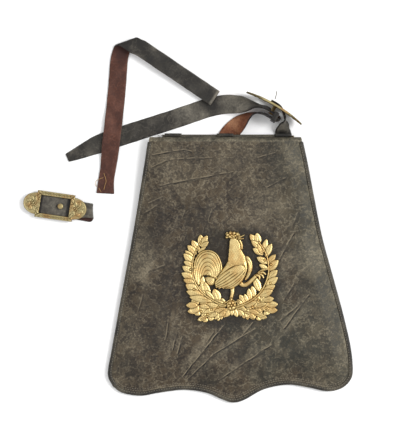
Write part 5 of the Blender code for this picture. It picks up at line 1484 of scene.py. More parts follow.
def dome(inside, half, rise, edge=0.35):
    """A rounded form: an upright edge, then a curve up to its crest."""
    share = np.clip(inside / np.maximum(half, 1e-6), 0.0, 1.0)
    return rise * (edge + (1.0 - edge) * np.sqrt(1.0 - (1.0 - share) ** 2))


print("plate helpers ready")

# %% [markdown]
# Stems, legs and feathers are long forms that bend and taper. Each is a line through a few places: the
# distance from the line says where the edge is, and the share along it says how wide the form is there.

# %% Bars along a line
LINE_DEEP = 0.32


def follow(x, y, line):
    """For each place: the share along a line of points, the distance to it and the side it is on."""
    reach = run_lengths(line)
    share, best, side = np.zeros(x.shape), np.full(x.shape, 1e9), np.zeros(x.shape)
    for start, end, before, after in zip(line, line[1:], reach, reach[1:]):
        way = unit(end - start)
        off_x, off_y = x - start[0], y - start[1]
        ahead = np.clip(off_x * way[0] + off_y * way[1], 0.0, after - before)
        distance = np.hypot(off_x - ahead * way[0], off_y - ahead * way[1])
        nearer = distance < best
        best = np.where(nearer, distance, best)
        share = np.where(nearer, (before + ahead) / reach[-1], share)
        side = np.where(nearer, np.sign(way[0] * off_y - way[1] * off_x), side)
    return share, best, side


def lay_bar(relief, points, wide, end_wide, rise, groove=0.5, lines=0):
    """A curved tapering bar; lines is how many fine grooves run along it, as on a feather."""
    line = smooth_line(points, 5)
    part, x, y = window(relief, line, max(wide, end_wide) / 2.0 + MARGIN)
    share, distance, side = follow(x, y, line)
    half = (wide + (end_wide - wide) * share) / 2.0
    height = dome(half - distance, half, rise)
    if lines:
        across = distance * side / half
        height = height - LINE_DEEP * np.abs(np.sin((across + 1.0) * np.pi * (lines + 1) / 2.0)) ** 8
    lay(relief, part, half - distance, height, groove)


print("bar helpers ready")

# %% [markdown]
# A laurel leaf is widest near its middle and rounded at its point, with a midrib and faint veins on both
# sides. The lobes of an oak leaf are small leaves of the same kind, set in pairs along a midrib. So one
# helper is enough for both, and the second only places its leaves.

# %% Leaves
LEAF_MARGIN = 2.6
LEAF_FULL = 0.62
LEAF_SKEW = 0.95
MIDRIB_DEEP = 0.45
MIDRIB_WIDE = 0.4
VEIN_DEEP = 0.1
VEIN_PITCH = 2.9


def span(base, tip):
    """The base as an array, how long it is to the tip, and the way there."""
    base, tip = np.array(base, float), np.array(tip, float)
    long = np.linalg.norm(tip - base)
    return base, long, (tip - base) / long


def lay_leaf(relief, base, tip, wide, rise, groove=0.45):
    """A leaf with a rounded point, a midrib and faint side veins."""
    base, long, way = span(base, tip)
    part, x, y = window(relief, [base, tip], wide / 2.0 + LEAF_MARGIN)
    off_x, off_y = x - base[0], y - base[1]
    share = (off_x * way[0] + off_y * way[1]) / long
    across = way[0] * off_y - way[1] * off_x
    half = np.maximum(np.sin(np.pi * np.clip(share, 0.0, 1.0) ** LEAF_SKEW) ** LEAF_FULL * wide / 2.0, 1e-3)
    inside = np.minimum(half - np.abs(across), np.minimum(share, 1.0 - share) * long * 0.9)
    beyond = -np.hypot(across, np.maximum(-share, share - 1.0) * long)
    inside = np.where((share < 0.0) | (share > 1.0), beyond, inside)
    height = dome(inside, half, rise, 0.55) * (0.85 + 0.15 * np.clip(share, 0.0, 1.0))
    height = height - MIDRIB_DEEP * bell(across, MIDRIB_WIDE) * np.clip((1.0 - share) * 2.0, 0.0, 1.0)
    vein = np.cos(2.0 * np.pi * (share * long - np.abs(across) * 0.8) / VEIN_PITCH)
    lay(relief, part, inside, height - VEIN_DEEP * np.clip(vein, 0.0, 1.0) ** 2, groove)


def lay_oak_leaf(relief, base, tip, wide, rise, pairs):
    """A lobed leaf: pairs of small rounded lobes along a midrib, then one at the tip."""
    base, long, way = span(base, tip)
    left = np.array([-way[1], way[0]])
    lobe_wide = 1.05 * long / (pairs + 1.0)
    for number in range(pairs):
        share = (number + 0.6) / (pairs + 0.7)
        root = base + (share - 0.06) * long * way
        reach = wide / 2.0 * (0.75 + 0.35 * math.sin(math.pi * share))
        for side in (left, -left):
            lay_leaf(relief, root, root + reach * unit(side + 0.75 * way) * 1.15, lobe_wide, rise)
    lay_leaf(relief, base + 0.72 * long * way, tip, 0.8 * lobe_wide, rise)
    lay_bar(relief, [base + share * long * way for share in (0.0, 0.35, 0.68)], 1.8, 1.0, rise + 0.3, 0.2)


print("leaf helpers ready")

# %% [markdown]
# The bird's body, its neck and its wing are neither bars nor leaves. Each is drawn as a closed outline,
# and the height depends on how deep inside it a place lies. Petals, beads and berries are round bosses.

# %% Outlines and bosses
def outline_depth(x, y, outline):
    """How deep each place lies inside a closed outline, negative outside."""
    closed = np.concatenate([outline, outline[:1]])
    crossings = np.zeros(x.shape, bool)
    for (x0, y0), (x1, y1) in zip(closed, closed[1:]):
        if y0 != y1:
            crossings ^= ((y0 > y) != (y1 > y)) & (x < (x1 - x0) * (y - y0) / (y1 - y0) + x0)
    distance = follow(x, y, closed)[1]
    return np.where(crossings, distance, -distance)


def lay_shape(relief, points, rise, shoulder, pattern=None, groove=0.5, steps=5, edge=0.35):
    """A filled outline, rounded over a shoulder from the share of its height at the edge, and engraved."""
    outline = smooth_line([*points, points[0]], steps)[:-1]
    part, x, y = window(relief, outline, MARGIN)
    inside = outline_depth(x, y, outline)
    height = dome(inside, shoulder, rise, edge)
    lay(relief, part, inside, height + pattern(x, y) if pattern else height, groove)


def lay_disc(relief, middle, radius, rise, groove=0.5, flat=0.0):
    """A round boss, domed or with a flat top."""
    part, x, y = window(relief, [middle], radius + MARGIN)
    inside = radius - np.hypot(x - middle[0], y - middle[1])
    lay(relief, part, inside, dome(inside, radius * (1.0 - flat), rise), groove)


print("outline helpers ready")

# %% [markdown]
# A founder presses the carved pattern into sand and pours the metal in. Here the grid's cells inside
# the outline stay, the edge is pulled onto the true outline, and walls and a flat back close the
# casting. Places that lie lower than the mean of those around them are marked as hollow: dirt and old
# polish gather there, and the same mark paints the shade that falls in them. The outline's border is
# marked as well, so it is drawn darker.

# %% Cast a relief
LEAST_THICK = 0.5
LEAST_STEEP = 0.3
EDGE_PULL = 0.55
# Hollows are found at two sizes, between the leaves and on one leaf: passes of blur, and strength
HOLLOW_SIZES = ((14, 0.85), (3, 3.2))
EDGE_HOLLOW = 0.5
BACK_HOLLOW = 0.6


def blurred(values, times):
    """The mean over a neighbourhood that grows with the number of passes."""
    for _ in range(times):
        wide = np.pad(values, 1, mode="edge")
        values = (2.0 * wide[1:-1, 1:-1] + wide[:-2, 1:-1] + wide[2:, 1:-1] + wide[1:-1, :-2]
                  + wide[1:-1, 2:]) / 6.0
    return values


def cast(relief):
    """Corners, faces and hollows of a closed casting that lies face up with its back at 0."""
    x, y, inside, height, step = relief
    keep = inside[:-1, :-1] + inside[1:, :-1] + inside[:-1, 1:] + inside[1:, 1:] > 0.0
    # Where two cells would touch at a corner only, a third one joins them
    for _ in range(3):
        keep[1:, :-1] |= keep[:-1, :-1] & keep[1:, 1:] & ~keep[1:, :-1] & ~keep[:-1, 1:]
        keep[:-1, :-1] |= ~keep[:-1, :-1] & ~keep[1:, 1:] & keep[1:, :-1] & keep[:-1, 1:]
    padded = np.pad(keep, 1)
    touched = padded[:-1, :-1].astype(int) + padded[1:, :-1] + padded[:-1, 1:] + padded[1:, 1:]
    border = (touched > 0) & (touched < 4)
    # The corners on the border move onto the true outline
    slope_y, slope_x = np.gradient(inside, step)
    steep = np.maximum(slope_x ** 2 + slope_y ** 2, LEAST_STEEP)
    shift = np.clip(-inside / steep, -EDGE_PULL * step, EDGE_PULL * step) * border
    x, y = x + shift * slope_x, y + shift * slope_y
    hollows = [np.clip((blurred(height, passes) - height) * strength, 0.0, 1.0)
               for passes, strength in HOLLOW_SIZES]
    # Old polish in the recesses with painted shade there, and a darker border along the outline
    cavity = np.maximum.reduce([*hollows, border * EDGE_HOLLOW])
    used = touched > 0
    count = int(used.sum())
    number = np.full(x.shape, -1)
    number[used] = np.arange(count)
    top = np.stack([x[used], y[used], np.maximum(height[used], LEAST_THICK)], axis=1)
    cell = np.stack([number[:-1, :-1], number[:-1, 1:], number[1:, 1:], number[1:, :-1]], axis=-1)[keep]
    # Each open side of a cell gets a wall down to the back
    walls = []
    for start, end, beyond in (((0, 0), (0, 1), (-1, 0)), ((0, 1), (1, 1), (0, 1)),
                               ((1, 1), (1, 0), (1, 0)), ((1, 0), (0, 0), (0, -1))):
        neighbour = np.roll(padded, (-beyond[0], -beyond[1]), (0, 1))[1:-1, 1:-1]
        rows, columns = np.nonzero(keep & ~neighbour)
        first = number[rows + start[0], columns + start[1]]
        second = number[rows + end[0], columns + end[1]]
        walls.append(np.stack([first, first + count, second + count, second], axis=1))
    faces = np.concatenate([cell, cell[:, ::-1] + count, *walls])
    hollow = np.concatenate([cavity[used], np.full(count, BACK_HOLLOW)])
    return np.concatenate([top, top * (1.0, 1.0, 0.0)]), faces, hollow


print("casting helpers ready")

# %% [markdown]
# ## The buckles
#
# Both buckles come from one mould: a frame with a window, a moulded rim along its long sides, and a
# round lobe at each end with a rosette of petals on it. The loose one lies face up on the table with a
# stub of strap folded behind it. The other stands on its long edge, so we see its thickness.

# %% Carve a buckle
FRAME_HALF = (24.5, 17.5)
WINDOW_HALF = (19.5, 11.8)
LOBE_CENTRE = 24.5
LOBE_LONG = 17.0
LOBE_HIGH = 14.2
LOBE_THICK = 2.1
FRAME_PROUD = 0.9
ROSETTE_OUT = 4.0
BUCKLE_STEP = 0.45


def carve_buckle():
    """The relief of one buckle about its middle, face up."""
    plate = blank(42.0, 18.6, BUCKLE_STEP)
    x, y = np.abs(plate.x), np.abs(plate.y)
    frame_in = np.minimum(FRAME_HALF[0] - x, FRAME_HALF[1] - y)
    lobe_in = LOBE_HIGH * (1.0 - np.hypot((x - LOBE_CENTRE) / LOBE_LONG, y / LOBE_HIGH))
    window_out = np.maximum(x - WINDOW_HALF[0], y - WINDOW_HALF[1])
    plate.inside[...] = np.minimum(np.maximum(frame_in, lobe_in), window_out)
    on_frame, on_lobe = frame_in > 0.0, frame_in <= 0.0
    body = LOBE_THICK + FRAME_PROUD * smoothstep(np.minimum(frame_in, window_out) / 0.5) * on_frame
    # A deep and a fine groove run along the frame, and a low rim round each lobe
    body -= 0.55 * bell(frame_in - 2.9, 0.5) * on_frame
    body -= 0.3 * bell(frame_in - 4.5, 0.35) * (window_out > 0.0) * on_frame
    body += 0.3 * bell(lobe_in - 0.9, 0.5) * on_lobe
    plate.height[...] = body * (plate.inside > 0.0)
    for side in (-1.0, 1.0):
        middle = np.array([side * (LOBE_CENTRE + ROSETTE_OUT), 0.0])
        for way in ways(np.arange(0.0, 360.0, 45.0) + 22.5):
            lay_leaf(plate, middle + way * 2.0, middle + way * (9.6 + 0.8 * abs(way[1])), 6.4, 2.85, 0.15)
        for way in ways(np.arange(0.0, 360.0, 60.0)):
            lay_disc(plate, middle + way * 2.6, 1.6, 3.1, groove=0.15)
        lay_disc(plate, middle, 1.9, 3.4, groove=0.2)
        for lift in (-1.0, 1.0):
            lay_leaf(plate, (side * 17.8, lift * 13.4), (side * 23.8, lift * 16.9), 3.4, 3.3)
            lay_leaf(plate, (side * 24.2, lift * 6.6), (side * 20.6, lift * 13.0), 3.2, 3.3)
    for lift in (-1.0, 1.0):
        for along in np.arange(-14.0, 14.1, 3.5):
            lay_disc(plate, (along, lift * 14.7), 0.95, 3.3, groove=0.25)
    return plate


buckle_points, buckle_faces, buckle_hollow = cast(carve_buckle())
print("buckle:", len(buckle_points), "corners")

# %% [markdown]
# The one casting is set in place twice. The loose buckle is turned and laid on its strap. The other is
# made face up too, then stood on its long edge, bowed a little and leaned, as the photo shows it. Two
# linked copies could be turned by hand, but the bow is in the metal itself, so the points are moved.

# %% Set both buckles in place
LOOSE_MIDDLE = (-174.2, 18.3)
LOOSE_TURN = math.radians(-8.3)
LOOSE_BACK_Z = 5.4
PLATE_THICK = 3.0
PLATE_THIN = 0.95
PLATE_HALF = 40.5
PLATE_BOW = 4.4
PLATE_LEAN = 0.065


def turned(points, middle, turn):
    """Points turned about the upright axis and moved to a middle."""
    x = points[:, 0] * math.cos(turn) - points[:, 1] * math.sin(turn) + middle[0]
    y = points[:, 0] * math.sin(turn) + points[:, 1] * math.cos(turn) + middle[1]
    return np.stack([x, y, points[:, 2] + middle[2]], axis=1)


def standing(points, out, z, bow=0.0, lean=0.0):
    """Points made face up, stood on their long edge and facing out from the standing buckle's place."""
    upright = np.stack([points[:, 0], -points[:, 2], points[:, 1]], axis=1)
    upright[:, 1] += bow * (1.0 - (points[:, 0] / PLATE_HALF) ** 2) - lean * points[:, 1]
    return turned(upright, beside_buckle((0.0, out, z, 0.0, 0.0))[:3], STANDING_TURN)


loose_plate = turned(buckle_points, (*LOOSE_MIDDLE, LOOSE_BACK_Z), LOOSE_TURN)
make_piece("loose_buckle_casting", loose_plate, buckle_faces, [brass], "brass", ("loose_buckle_frame",),
           marks={"hollow": buckle_hollow})
standing_plate = standing(buckle_points * (1.0, 1.0, PLATE_THIN), -PLATE_THICK / 2.0, FRAME_HALF[1],
                          PLATE_BOW, PLATE_LEAN)
# Through the hollow mark the standing plate is drawn darker towards both ends
off_standing = standing_plate[:, :2] - STANDING_PLACE
along_plate = np.abs(off_standing @ (math.cos(STANDING_TURN), math.sin(STANDING_TURN)))
make_piece("standing_buckle_casting", standing_plate, buckle_faces, [brass], "brass", ("buckle_frame",),
           marks={"hollow": 0.15 * buckle_hollow + 0.6 * smoothstep((along_plate - 14.0) / 14.0)})

# %% [markdown]
# A stud is turned on a lathe: a shank, a wider head and a rounded top. A Screw modifier could spin its
# profile, and we do the same in numbers, because both studs differ only in their length.

# %% Turn the studs
STUD_SIDES = 28
STUD_HOLLOW = 0.1
LOOSE_STUD_SPOT = (7.4, 0.6, 2.3)
LOOSE_STUD_LONG = 7.4
STANDING_STUD_OUT = -5.2
STANDING_STUD_Z = 17.4
STANDING_STUD_LONG = 14.0


def turned_stud(long):
    """Corners and faces of a stud along +Z from z = 0."""
    steps = [(2.4, 0.0), (2.4, long - 1.6), (3.5, long - 1.55), (3.7, long - 1.3), (3.7, long - 0.9),
             (3.3, long - 0.45), (2.4, long - 0.15), (1.2, long - 0.02)]
    points = np.array([(radius * x, radius * y, z) for radius, z in steps for x, y in circle(STUD_SIDES)])
    corners = list(range(len(points)))
    faces = grid_faces(len(steps), STUD_SIDES, around=True)[:, ::-1].tolist()
    return points, faces + [corners[:STUD_SIDES][::-1], corners[-STUD_SIDES:]]


stud_points, stud_faces = turned_stud(LOOSE_STUD_LONG)
loose_stud_at = turned(np.array([LOOSE_STUD_SPOT]), (*LOOSE_MIDDLE, 0.0), LOOSE_TURN)[0]
stud_marks = {"hollow": np.full(len(stud_points), STUD_HOLLOW)}
make_piece("loose_stud_turned", turned(stud_points, loose_stud_at, LOOSE_TURN), stud_faces, [brass], "brass",
           ("loose_stud",), marks=stud_marks)
stud_points, stud_faces = turned_stud(STANDING_STUD_LONG)
make_piece("standing_stud_turned", standing(stud_points, STANDING_STUD_OUT, STANDING_STUD_Z), stud_faces,
           [gilt], "brass", ("buckle_stud",), marks=stud_marks)

# %% [markdown]
# Behind the loose buckle lies a stub of strap, folded back on itself, narrower towards its fold and
# turned a little. It is one strap along one line, as the slings are, and its stud hole is a small mark of
# painted shade, because the hole is too fine for the sheet's own points. Painted shade also darkens the
# strap along the inner edges of the buckle's window and all along the run folded under.

# %% Fold the stub of strap
STUB_WIDE = 24.4
STUB_NARROWS = 4.6
STUB_START = -21.4
STUB_FLAT_END = 42.0
STUB_FOLD = 46.8
STUB_END = -10.0
STUB_SKEW = -0.7
LOWER_SKEW = 2.7
STUB_TURN = math.radians(16.0)
HOLE_BESIDE = (3.4, -0.4)
HOLE_RADIUS = 1.6

stub_low = FLOOR_CLEAR + STRAP_THICK / 2.0
stub_high = stub_low + STRAP_THICK + 1.3
fold_high = (stub_high - stub_low) / 2.0 + 0.45
stub_line = [(along, stub_high) for along in np.linspace(STUB_START, STUB_FLAT_END, 52)]
stub_line += [(45.6, stub_high + 0.5)]
stub_line += [(STUB_FOLD + 2.2 * way[0], (stub_low + stub_high) / 2.0 + 0.3 + fold_high * way[1])
              for way in ways(np.linspace(60.0, -60.0, 11))]
stub_line += [(along, stub_low) for along in np.linspace(45.4, STUB_END, 36)]
stub_along, stub_z = np.array(stub_line).T
down_share = smoothstep((stub_high - stub_z) / (stub_high - stub_low))
narrowing = smoothstep((stub_along - 24.0) / 20.0) * (1.0 - down_share)
skew = -(STUB_SKEW + LOWER_SKEW * down_share) * smoothstep((stub_along - 10.0) / 37.0)
stub_middle = turned(np.stack([stub_along, skew, stub_z], axis=1), (*LOOSE_MIDDLE, 0.0), LOOSE_TURN)
stub_turn = LOOSE_TURN + STUB_TURN * narrowing
stub_across = np.stack([-np.sin(stub_turn), np.cos(stub_turn), np.zeros(len(stub_turn))], axis=1)
stub = Strap(stub_middle, stub_across, STUB_WIDE - STUB_NARROWS * narrowing)
stub_points = strap_face(stub, 17, 5.0, ripple=0.05)
# Painted shade along the window's inner edges, in the stud hole and on the run folded under
window_edge_shade = smoothstep((np.abs(stub_along + 1.0) - 14.5) / 3.0) * (np.abs(stub_along) < 24.0)
from_hole = np.linalg.norm(stub_points[..., :2] - loose_stud_at[:2] + HOLE_BESIDE, axis=-1)
stub_soot_and_shade = np.maximum(strap_marks(stub_points, 5.0)["soot_and_shade"], 1.0 - smoothstep(from_hole - HOLE_RADIUS))
stub_soot_and_shade = np.maximum(stub_soot_and_shade, np.maximum(window_edge_shade, down_share)[:, None])
stub_rub = np.where(stub_soot_and_shade > 0.5, 0.0, 0.42 + 0.15 * wander(stub_points, 5.0, 2.0)).clip(0.0, 1.0)
leather_sheet("loose_buckle_strap", stub_points, STRAP_THICK, (grain_side, red_flesh), "strap_leather",
              "loose_buckle_chape", {"rub_and_highlight": stub_rub, "soot_and_shade": stub_soot_and_shade}, bulge=0.15)

# %% [markdown]
# ## The badge: the wreath
#
# The badge is one casting, gilded after it was chased. Two branches cross at a knot and rise on both
# sides, set with laurel leaves, and with lobed oak leaves low down. We carve the lowest layer first:
# the lobed leaves and the crossed ends of the branches, then the laurel leaves, then the stems over
# them and the berries.

# %% Carve the wreath
BADGE_STEP = 0.456
OAK_RISE = 2.8
OAK_PAIRS = 4
LAUREL_RISE = 3.2
LAUREL_FULL = 0.98

# Each leaf runs from a base to a tip, with a width
OAK_LEAVES = [
    (6.3, -43.5, 27.9, -54.5, 10.3), (9, -44.8, 47.4, -54.5, 12.2), (9, -42.9, 61.1, -44.8, 13),
    (7.6, -39.4, 61.7, -37, 17.6), (7.6, -38.3, 56.3, -29.4, 16.2), (-1.9, -44.8, -20.8, -56.2, 10.3),
    (-5.9, -44.8, -42.4, -57.5, 12.4), (-7.3, -42.1, -55.4, -46.2, 13), (-5.9, -38, -57.3, -38.3, 20.3),
]
LEFT_LEAVES = [
    (-37.8, 37.9, -38.6, 53.6, 8.9), (-37.3, 38.2, -30, 52.3, 8.4), (-37.5, 36.9, -28.4, 44.2, 6.8),
    (-40.8, 32, -49.7, 46, 9.2), (-44, 27.7, -55.4, 39.6, 8.9), (-42.4, 30.1, -31.9, 37.4, 4.9),
    (-46.2, 21.4, -58.6, 32.8, 6.8), (-46.5, 15.2, -60.5, 28.7, 10), (-46.5, 11.2, -60.3, 18.7, 7.6),
    (-46.2, 2.2, -62.2, 12.5, 9.7), (-44.8, -5.6, -63.2, 3.6, 10.3), (-42.1, -12.1, -60.8, -4.8, 8.9),
    (-31.6, -25.9, -57.8, -11.3, 14.1), (-30, -28.6, -57, -19.9, 11.4),
    (-24.8, -32.6, -53, -27.5, 9.5), (-34.8, -19.7, -37.5, 2.5, 8.1), (-26.7, -27.5, -33, -7.8, 7.8),
    (-14.6, -33.5, -21.3, -17, 11.4), (-7.3, -38.3, -10.8, -28.9, 5.9), (-20.8, -32.6, -31.6, -19.1, 6.8),
]
RIGHT_LEAVES = [
    (36.3, 40.1, 25.5, 53.9, 8.9), (37.4, 40.1, 34.1, 55.8, 9.2), (39.8, 35.2, 27.3, 45.5, 7.8),
    (42.8, 27.4, 29.2, 35.5, 8.1), (41.4, 28.2, 35.5, 41.7, 5.9), (42.8, 30.1, 47.1, 47.7, 8.1),
    (45.7, 24.4, 53.6, 41.7, 8.4), (49, 16.3, 34.4, 23.9, 8.7), (47.6, 14.7, 58.7, 27.7, 8.1),
    (49.5, 6.6, 62, 20.4, 10), (49.5, 7.9, 37.4, 14.7, 6.8), (49, -3.7, 60.9, 7.4, 9.5),
    (46.3, -13.2, 61.4, -2.1, 10), (42.8, -20.7, 57.9, -12.6, 9.5), (37.4, -25.9, 54.9, -19.1, 10.3),
    (38.7, -20.5, 30.9, -0.7, 9.7), (31.4, -27.8, 27.9, -13.2, 8.1), (26, -32.6, 23.8, -16.4, 7.6),
    (19.8, -36.4, 11.9, -24.5, 8.1), (22.8, -34.8, 18.2, -23.4, 5.9), (15.7, -38, 9.8, -31.3, 5.4),
]
KNOT_LEAVES = [
    (-5.1, -39.7, -20.8, -32.3, 7.6), (-14.6, -40.6, -30.7, -36, 7.1), (-27.6, -41, -40.2, -38.6, 7),
    (-5.9, -43.5, -21.2, -45.6, 7.3), (-3.7, -45, -14.8, -52.7, 7.3), (-22.8, -44.2, -34.7, -47.7, 6.5),
    (-16.7, -48.2, -27.2, -53.1, 6.4), (8.3, -40.2, 21.2, -44.8, 7.3), (8.3, -44.1, 17.8, -51.8, 7.3),
    (18.7, -39.4, 33.5, -33.6, 8.1), (24.1, -44.8, 37.4, -49, 6.8), (33.2, -39.8, 46.6, -36, 7.6),
    (23.8, -49.2, 31.7, -54.6, 6.4), (39, -42, 51, -43, 6.4), (1, -42, -5.6, -53.4, 7.2),
    (4, -42, 9.4, -53.6, 7.2), (2.2, -42, 2, -51.6, 6.2),
]
STEMS = [
    [(1.4, -39.7), (-13.7, -36.4), (-30.9, -26.7), (-42.8, -14), (-49, 2.4), (-49, 17),
     (-45.4, 30), (-41, 39), (-38.6, 44)],
    [(7.9, -40.7), (25.1, -33.2), (38.1, -22.4), (45.6, -9.5), (49.6, 5.6), (48.4, 22), (43.4, 34),
     (37, 44)],
]
CROSSED_ENDS = [[(10, -41), (-12, -46.5), (-30, -52.6), (-38, -57)],
                [(0, -40.4), (18, -46.8), (34, -51.2), (45, -54.6)]]
BERRIES = [(-51.6, 8.2), (-24.6, -43.8), (-16, -40.6), (-38, -46.4), (-29.4, -50.2), (46, -42.6),
           (36, -31.6), (51.6, -9.6), (-47.4, -17.6), (44.6, 20.4), (-44.6, 21.6), (52.6, 14.6),
           (28.6, -41)]

badge = blank(64.5, 60.0, BADGE_STEP)
# A bar has its width at the start and at the end, then its height
for leaf in OAK_LEAVES:
    lay_oak_leaf(badge, leaf[:2], leaf[2:4], leaf[4], OAK_RISE, OAK_PAIRS)
for stem in CROSSED_ENDS:
    lay_bar(badge, stem, 2.4, 1.8, 2.9, groove=0.35)
for leaf in LEFT_LEAVES + RIGHT_LEAVES + KNOT_LEAVES:
    lay_leaf(badge, leaf[:2], leaf[2:4], LAUREL_FULL * leaf[4], LAUREL_RISE)
for stem in STEMS:
    lay_bar(badge, stem, 2.5, 1.6, 3.7, groove=0.4)
for berry in BERRIES:
    lay_disc(badge, berry, 1.5, 3.7)
print("wreath leaves:", len(OAK_LEAVES + LEFT_LEAVES + RIGHT_LEAVES + KNOT_LEAVES))

# %% [markdown]
# ## The badge: the cock
#
# The bird stands on one leg in front of the wreath, with its head up and its beak open. Its tail is a
# round fan of sickle feathers, engraved as rings one inside the other with fine lines between them.
# The neck has long hackles, the breast has small scale-like feathers, and the wing has long quills
# that run down and back from the shoulder. Each pattern below is a chisel: it takes a place and says
# how deep to cut.

# %% Three chisels for feathers
def from_whole(values):
    """How far values lie from the nearest whole number."""
    return values - np.round(values)


def scales(wide, long, depth):
    """Small feathers with rounded ends that overlap like roof tiles."""
    def pattern(x, y):
        best = np.zeros(x.shape)
        for shift in (0.0, 0.5):
            u = 2.0 * ((x / wide + shift) % 1.0 - 0.5)
            v = (y / long + shift) % 1.0
            best = np.maximum(best, np.where(v > 0.3 * u ** 2, 1.0 - v, 0.0))
        return depth * (best - 0.6)
    return pattern


def sickles(middle, size, feathers, depth):
    """Sickle feathers as rings about a middle, each with fine lines in it."""
    def pattern(x, y):
        ring = np.hypot((x - middle[0]) / size[0], (y - middle[1]) / size[1]) * feathers
        cut = bell(from_whole(ring), 0.1) + 0.3 * bell(from_whole(ring * 3.0), 0.28)
        return 0.5 * (ring - np.floor(ring)) - depth * cut
    return pattern


def quills(line, wide, count, depth):
    """Long feathers side by side along a curved line, with a cut between each two."""
    def pattern(x, y):
        share, distance, side = follow(x, y, smooth_line(line, 6))
        fan = wide * (0.35 + 0.65 * np.sin(np.pi * np.clip(share * 0.8 + 0.12, 0.0, 1.0)))
        return -depth * bell(from_whole(distance * side / fan * count), 0.16)
    return pattern


print("chisels ready")

# %% [markdown]
# The tail goes on first, since the bird stands in front of it: the round fan, its widest feather along
# the rim, and the curled ones in its middle. The tip of the far wing shows on the other side. All of
# them are outlines with a chisel, except for the rim, which is a bar.

# %% Carve the tail and the far wing
TAIL = [(-18.2, -3.6), (-13.7, 1.3), (-11.1, 7.8), (-11.8, 16.7), (-15.6, 25.5), (-21.8, 31.4),
        (-29.9, 33.5), (-37.9, 31.4), (-43.8, 25.5), (-47.3, 16.7), (-48.6, 7.8), (-47.6, -0.3),
        (-44.6, -8.4), (-41, -12.6), (-38.4, -8.4), (-38.6, -3.6), (-36, -0.3), (-31.5, 0.6),
        (-26.6, -0.3), (-22.6, -3.6)]
TOP_SICKLE = [(-18, -4), (-12.6, 3), (-11.9, 14), (-16.6, 26), (-23.6, 31.6), (-31, 32.4),
              (-38.6, 29.6), (-44.4, 22), (-47.2, 10)]
CURL = [(-33, -2.6), (-30, -1), (-24.8, -1.5), (-20.8, -2.6), (-20, -7), (-21.9, -11.7),
        (-26.2, -12.6), (-30, -9.7)]
FAR_WING = [(16.5, 24.7), (22.5, 26), (26.8, 21.4), (28.8, 14.7), (28.2, 6.6), (24.9, -0.5), (20.3, -5.9),
            (18.4, -4.5), (21.1, 1.2), (23, 7.9), (22.8, 14.7), (20.6, 19.8)]

# A shape has its height and the width of its rounded shoulder, then its chisel
lay_shape(badge, TAIL, 4.0, 1.6, sickles((-29.9, -3.0), (18.9, 36.6), 7.0, 0.9), groove=0.55)
lay_bar(badge, TOP_SICKLE, 3.0, 1.8, 4.5, groove=0.3, lines=1)
lay_shape(badge, CURL, 3.8, 3.0, sickles((-31.0, -14.0), (6.0, 6.0), 3.0, 0.4))
lay_shape(badge, FAR_WING, 3.8, 2.2, sickles((18.0, 8.0), (12.0, 19.0), 4.0, 0.5))
print("tail carved")

# %% [markdown]
# One leg stands on the knot and the other is raised to the right, each with four toes. Over the legs
# come the body, then the wing, its short upper feathers and the neck. The order matters, because each
# form cuts its groove into the ones below it, as on the real pattern.

# %% Carve the legs, the body and the wing
LEG = [(2.5, -14.2), (2.8, -21.3), (1.4, -27.8), (0.6, -32.7)]
TOES = [[(0.8, -30.4), (-3.4, -33.6), (-8.2, -35.4)], [(0.8, -30.4), (5, -33.2), (10.4, -33.8)],
        [(0.6, -30), (-0.6, -34), (-3.2, -37)], [(1.2, -30), (3.4, -34.6), (6.2, -37)]]
RAISED_LEG = [(10.6, -6.4), (15.7, -11.6), (21.5, -11), (28.6, -4.8), (34, 0.6), (38.4, 4)]
RAISED_TOES = [[(37, 3.4), (41, 7.2), (44.8, 7.9)], [(37.4, 3), (42, 4.6), (45.6, 2.2)],
               [(36.6, 2), (41, 1), (43, -2.6)], [(34.6, 0.8), (37.6, -0.8), (38, -4.2)]]
BODY = [(-1.7, 25.5), (-3.7, 19.1), (-7.2, 12.3), (-13.7, 2.9), (-18.2, -4.5), (-16.9, -11.6),
        (-10.5, -15.7), (-4.8, -16.8), (2.5, -16.5), (9.8, -12.3), (16.2, -5.8), (20.6, 2.9),
        (22.2, 11.6), (19.9, 23.9), (15.1, 32), (5.7, 33.6)]
WING = [(-20.4, -9.4), (-18.6, -5.6), (-15, -0.6), (-7.2, 5.4), (0.1, 10.1), (8, 14), (14.4, 14.8),
        (18.8, 11.4), (18.2, 4), (13.2, -4), (5.7, -11), (-2.4, -15.5), (-6.3, -14.9), (-8.8, -17.1),
        (-11.8, -15.2), (-14.3, -17.5), (-16.3, -14.9), (-18.5, -16.2)]
WING_LINE = [(17.6, 10), (6, 1), (-8, -8.6), (-21, -15)]
COVERTS = [(18.2, 11.4), (14, 14.2), (7.6, 13.4), (0.4, 9.6), (-3, 6.8), (2, 4.4), (8, 3),
           (13.4, 4.4)]
NECK = [(-3, 19.1), (-2.4, 25.5), (-1.2, 40.1), (-0.4, 46.6), (2.5, 50.6), (8.9, 51.4), (13.2, 49.4),
        (14.1, 45), (14.4, 37.7), (15.4, 31.2), (19.3, 23.9), (18, 17), (12.2, 13.6), (4.1, 13.9)]

lay_bar(badge, LEG, 6.0, 3.8, 3.9)
for toe in TOES:
    lay_bar(badge, toe, 2.8, 1.6, 3.8)
lay_bar(badge, RAISED_LEG, 6.4, 4.0, 4.1)
for toe in RAISED_TOES:
    lay_bar(badge, toe, 4.0, 2.4, 4.3, groove=0.35)
lay_shape(badge, BODY, 4.9, 6.0, scales(2.6, 3.4, 0.42))
lay_shape(badge, WING, 6.0, 4.0, quills(WING_LINE, 11.0, 3.0, 0.9), groove=0.35, steps=3, edge=0.7)
lay_shape(badge, COVERTS, 6.2, 2.6, scales(2.4, 3.2, 0.5), groove=0.0, edge=0.85)
lay_shape(badge, NECK, 5.2, 5.0, scales(2.1, 5.2, 0.5), groove=0.0, edge=0.85)
print("body carved")

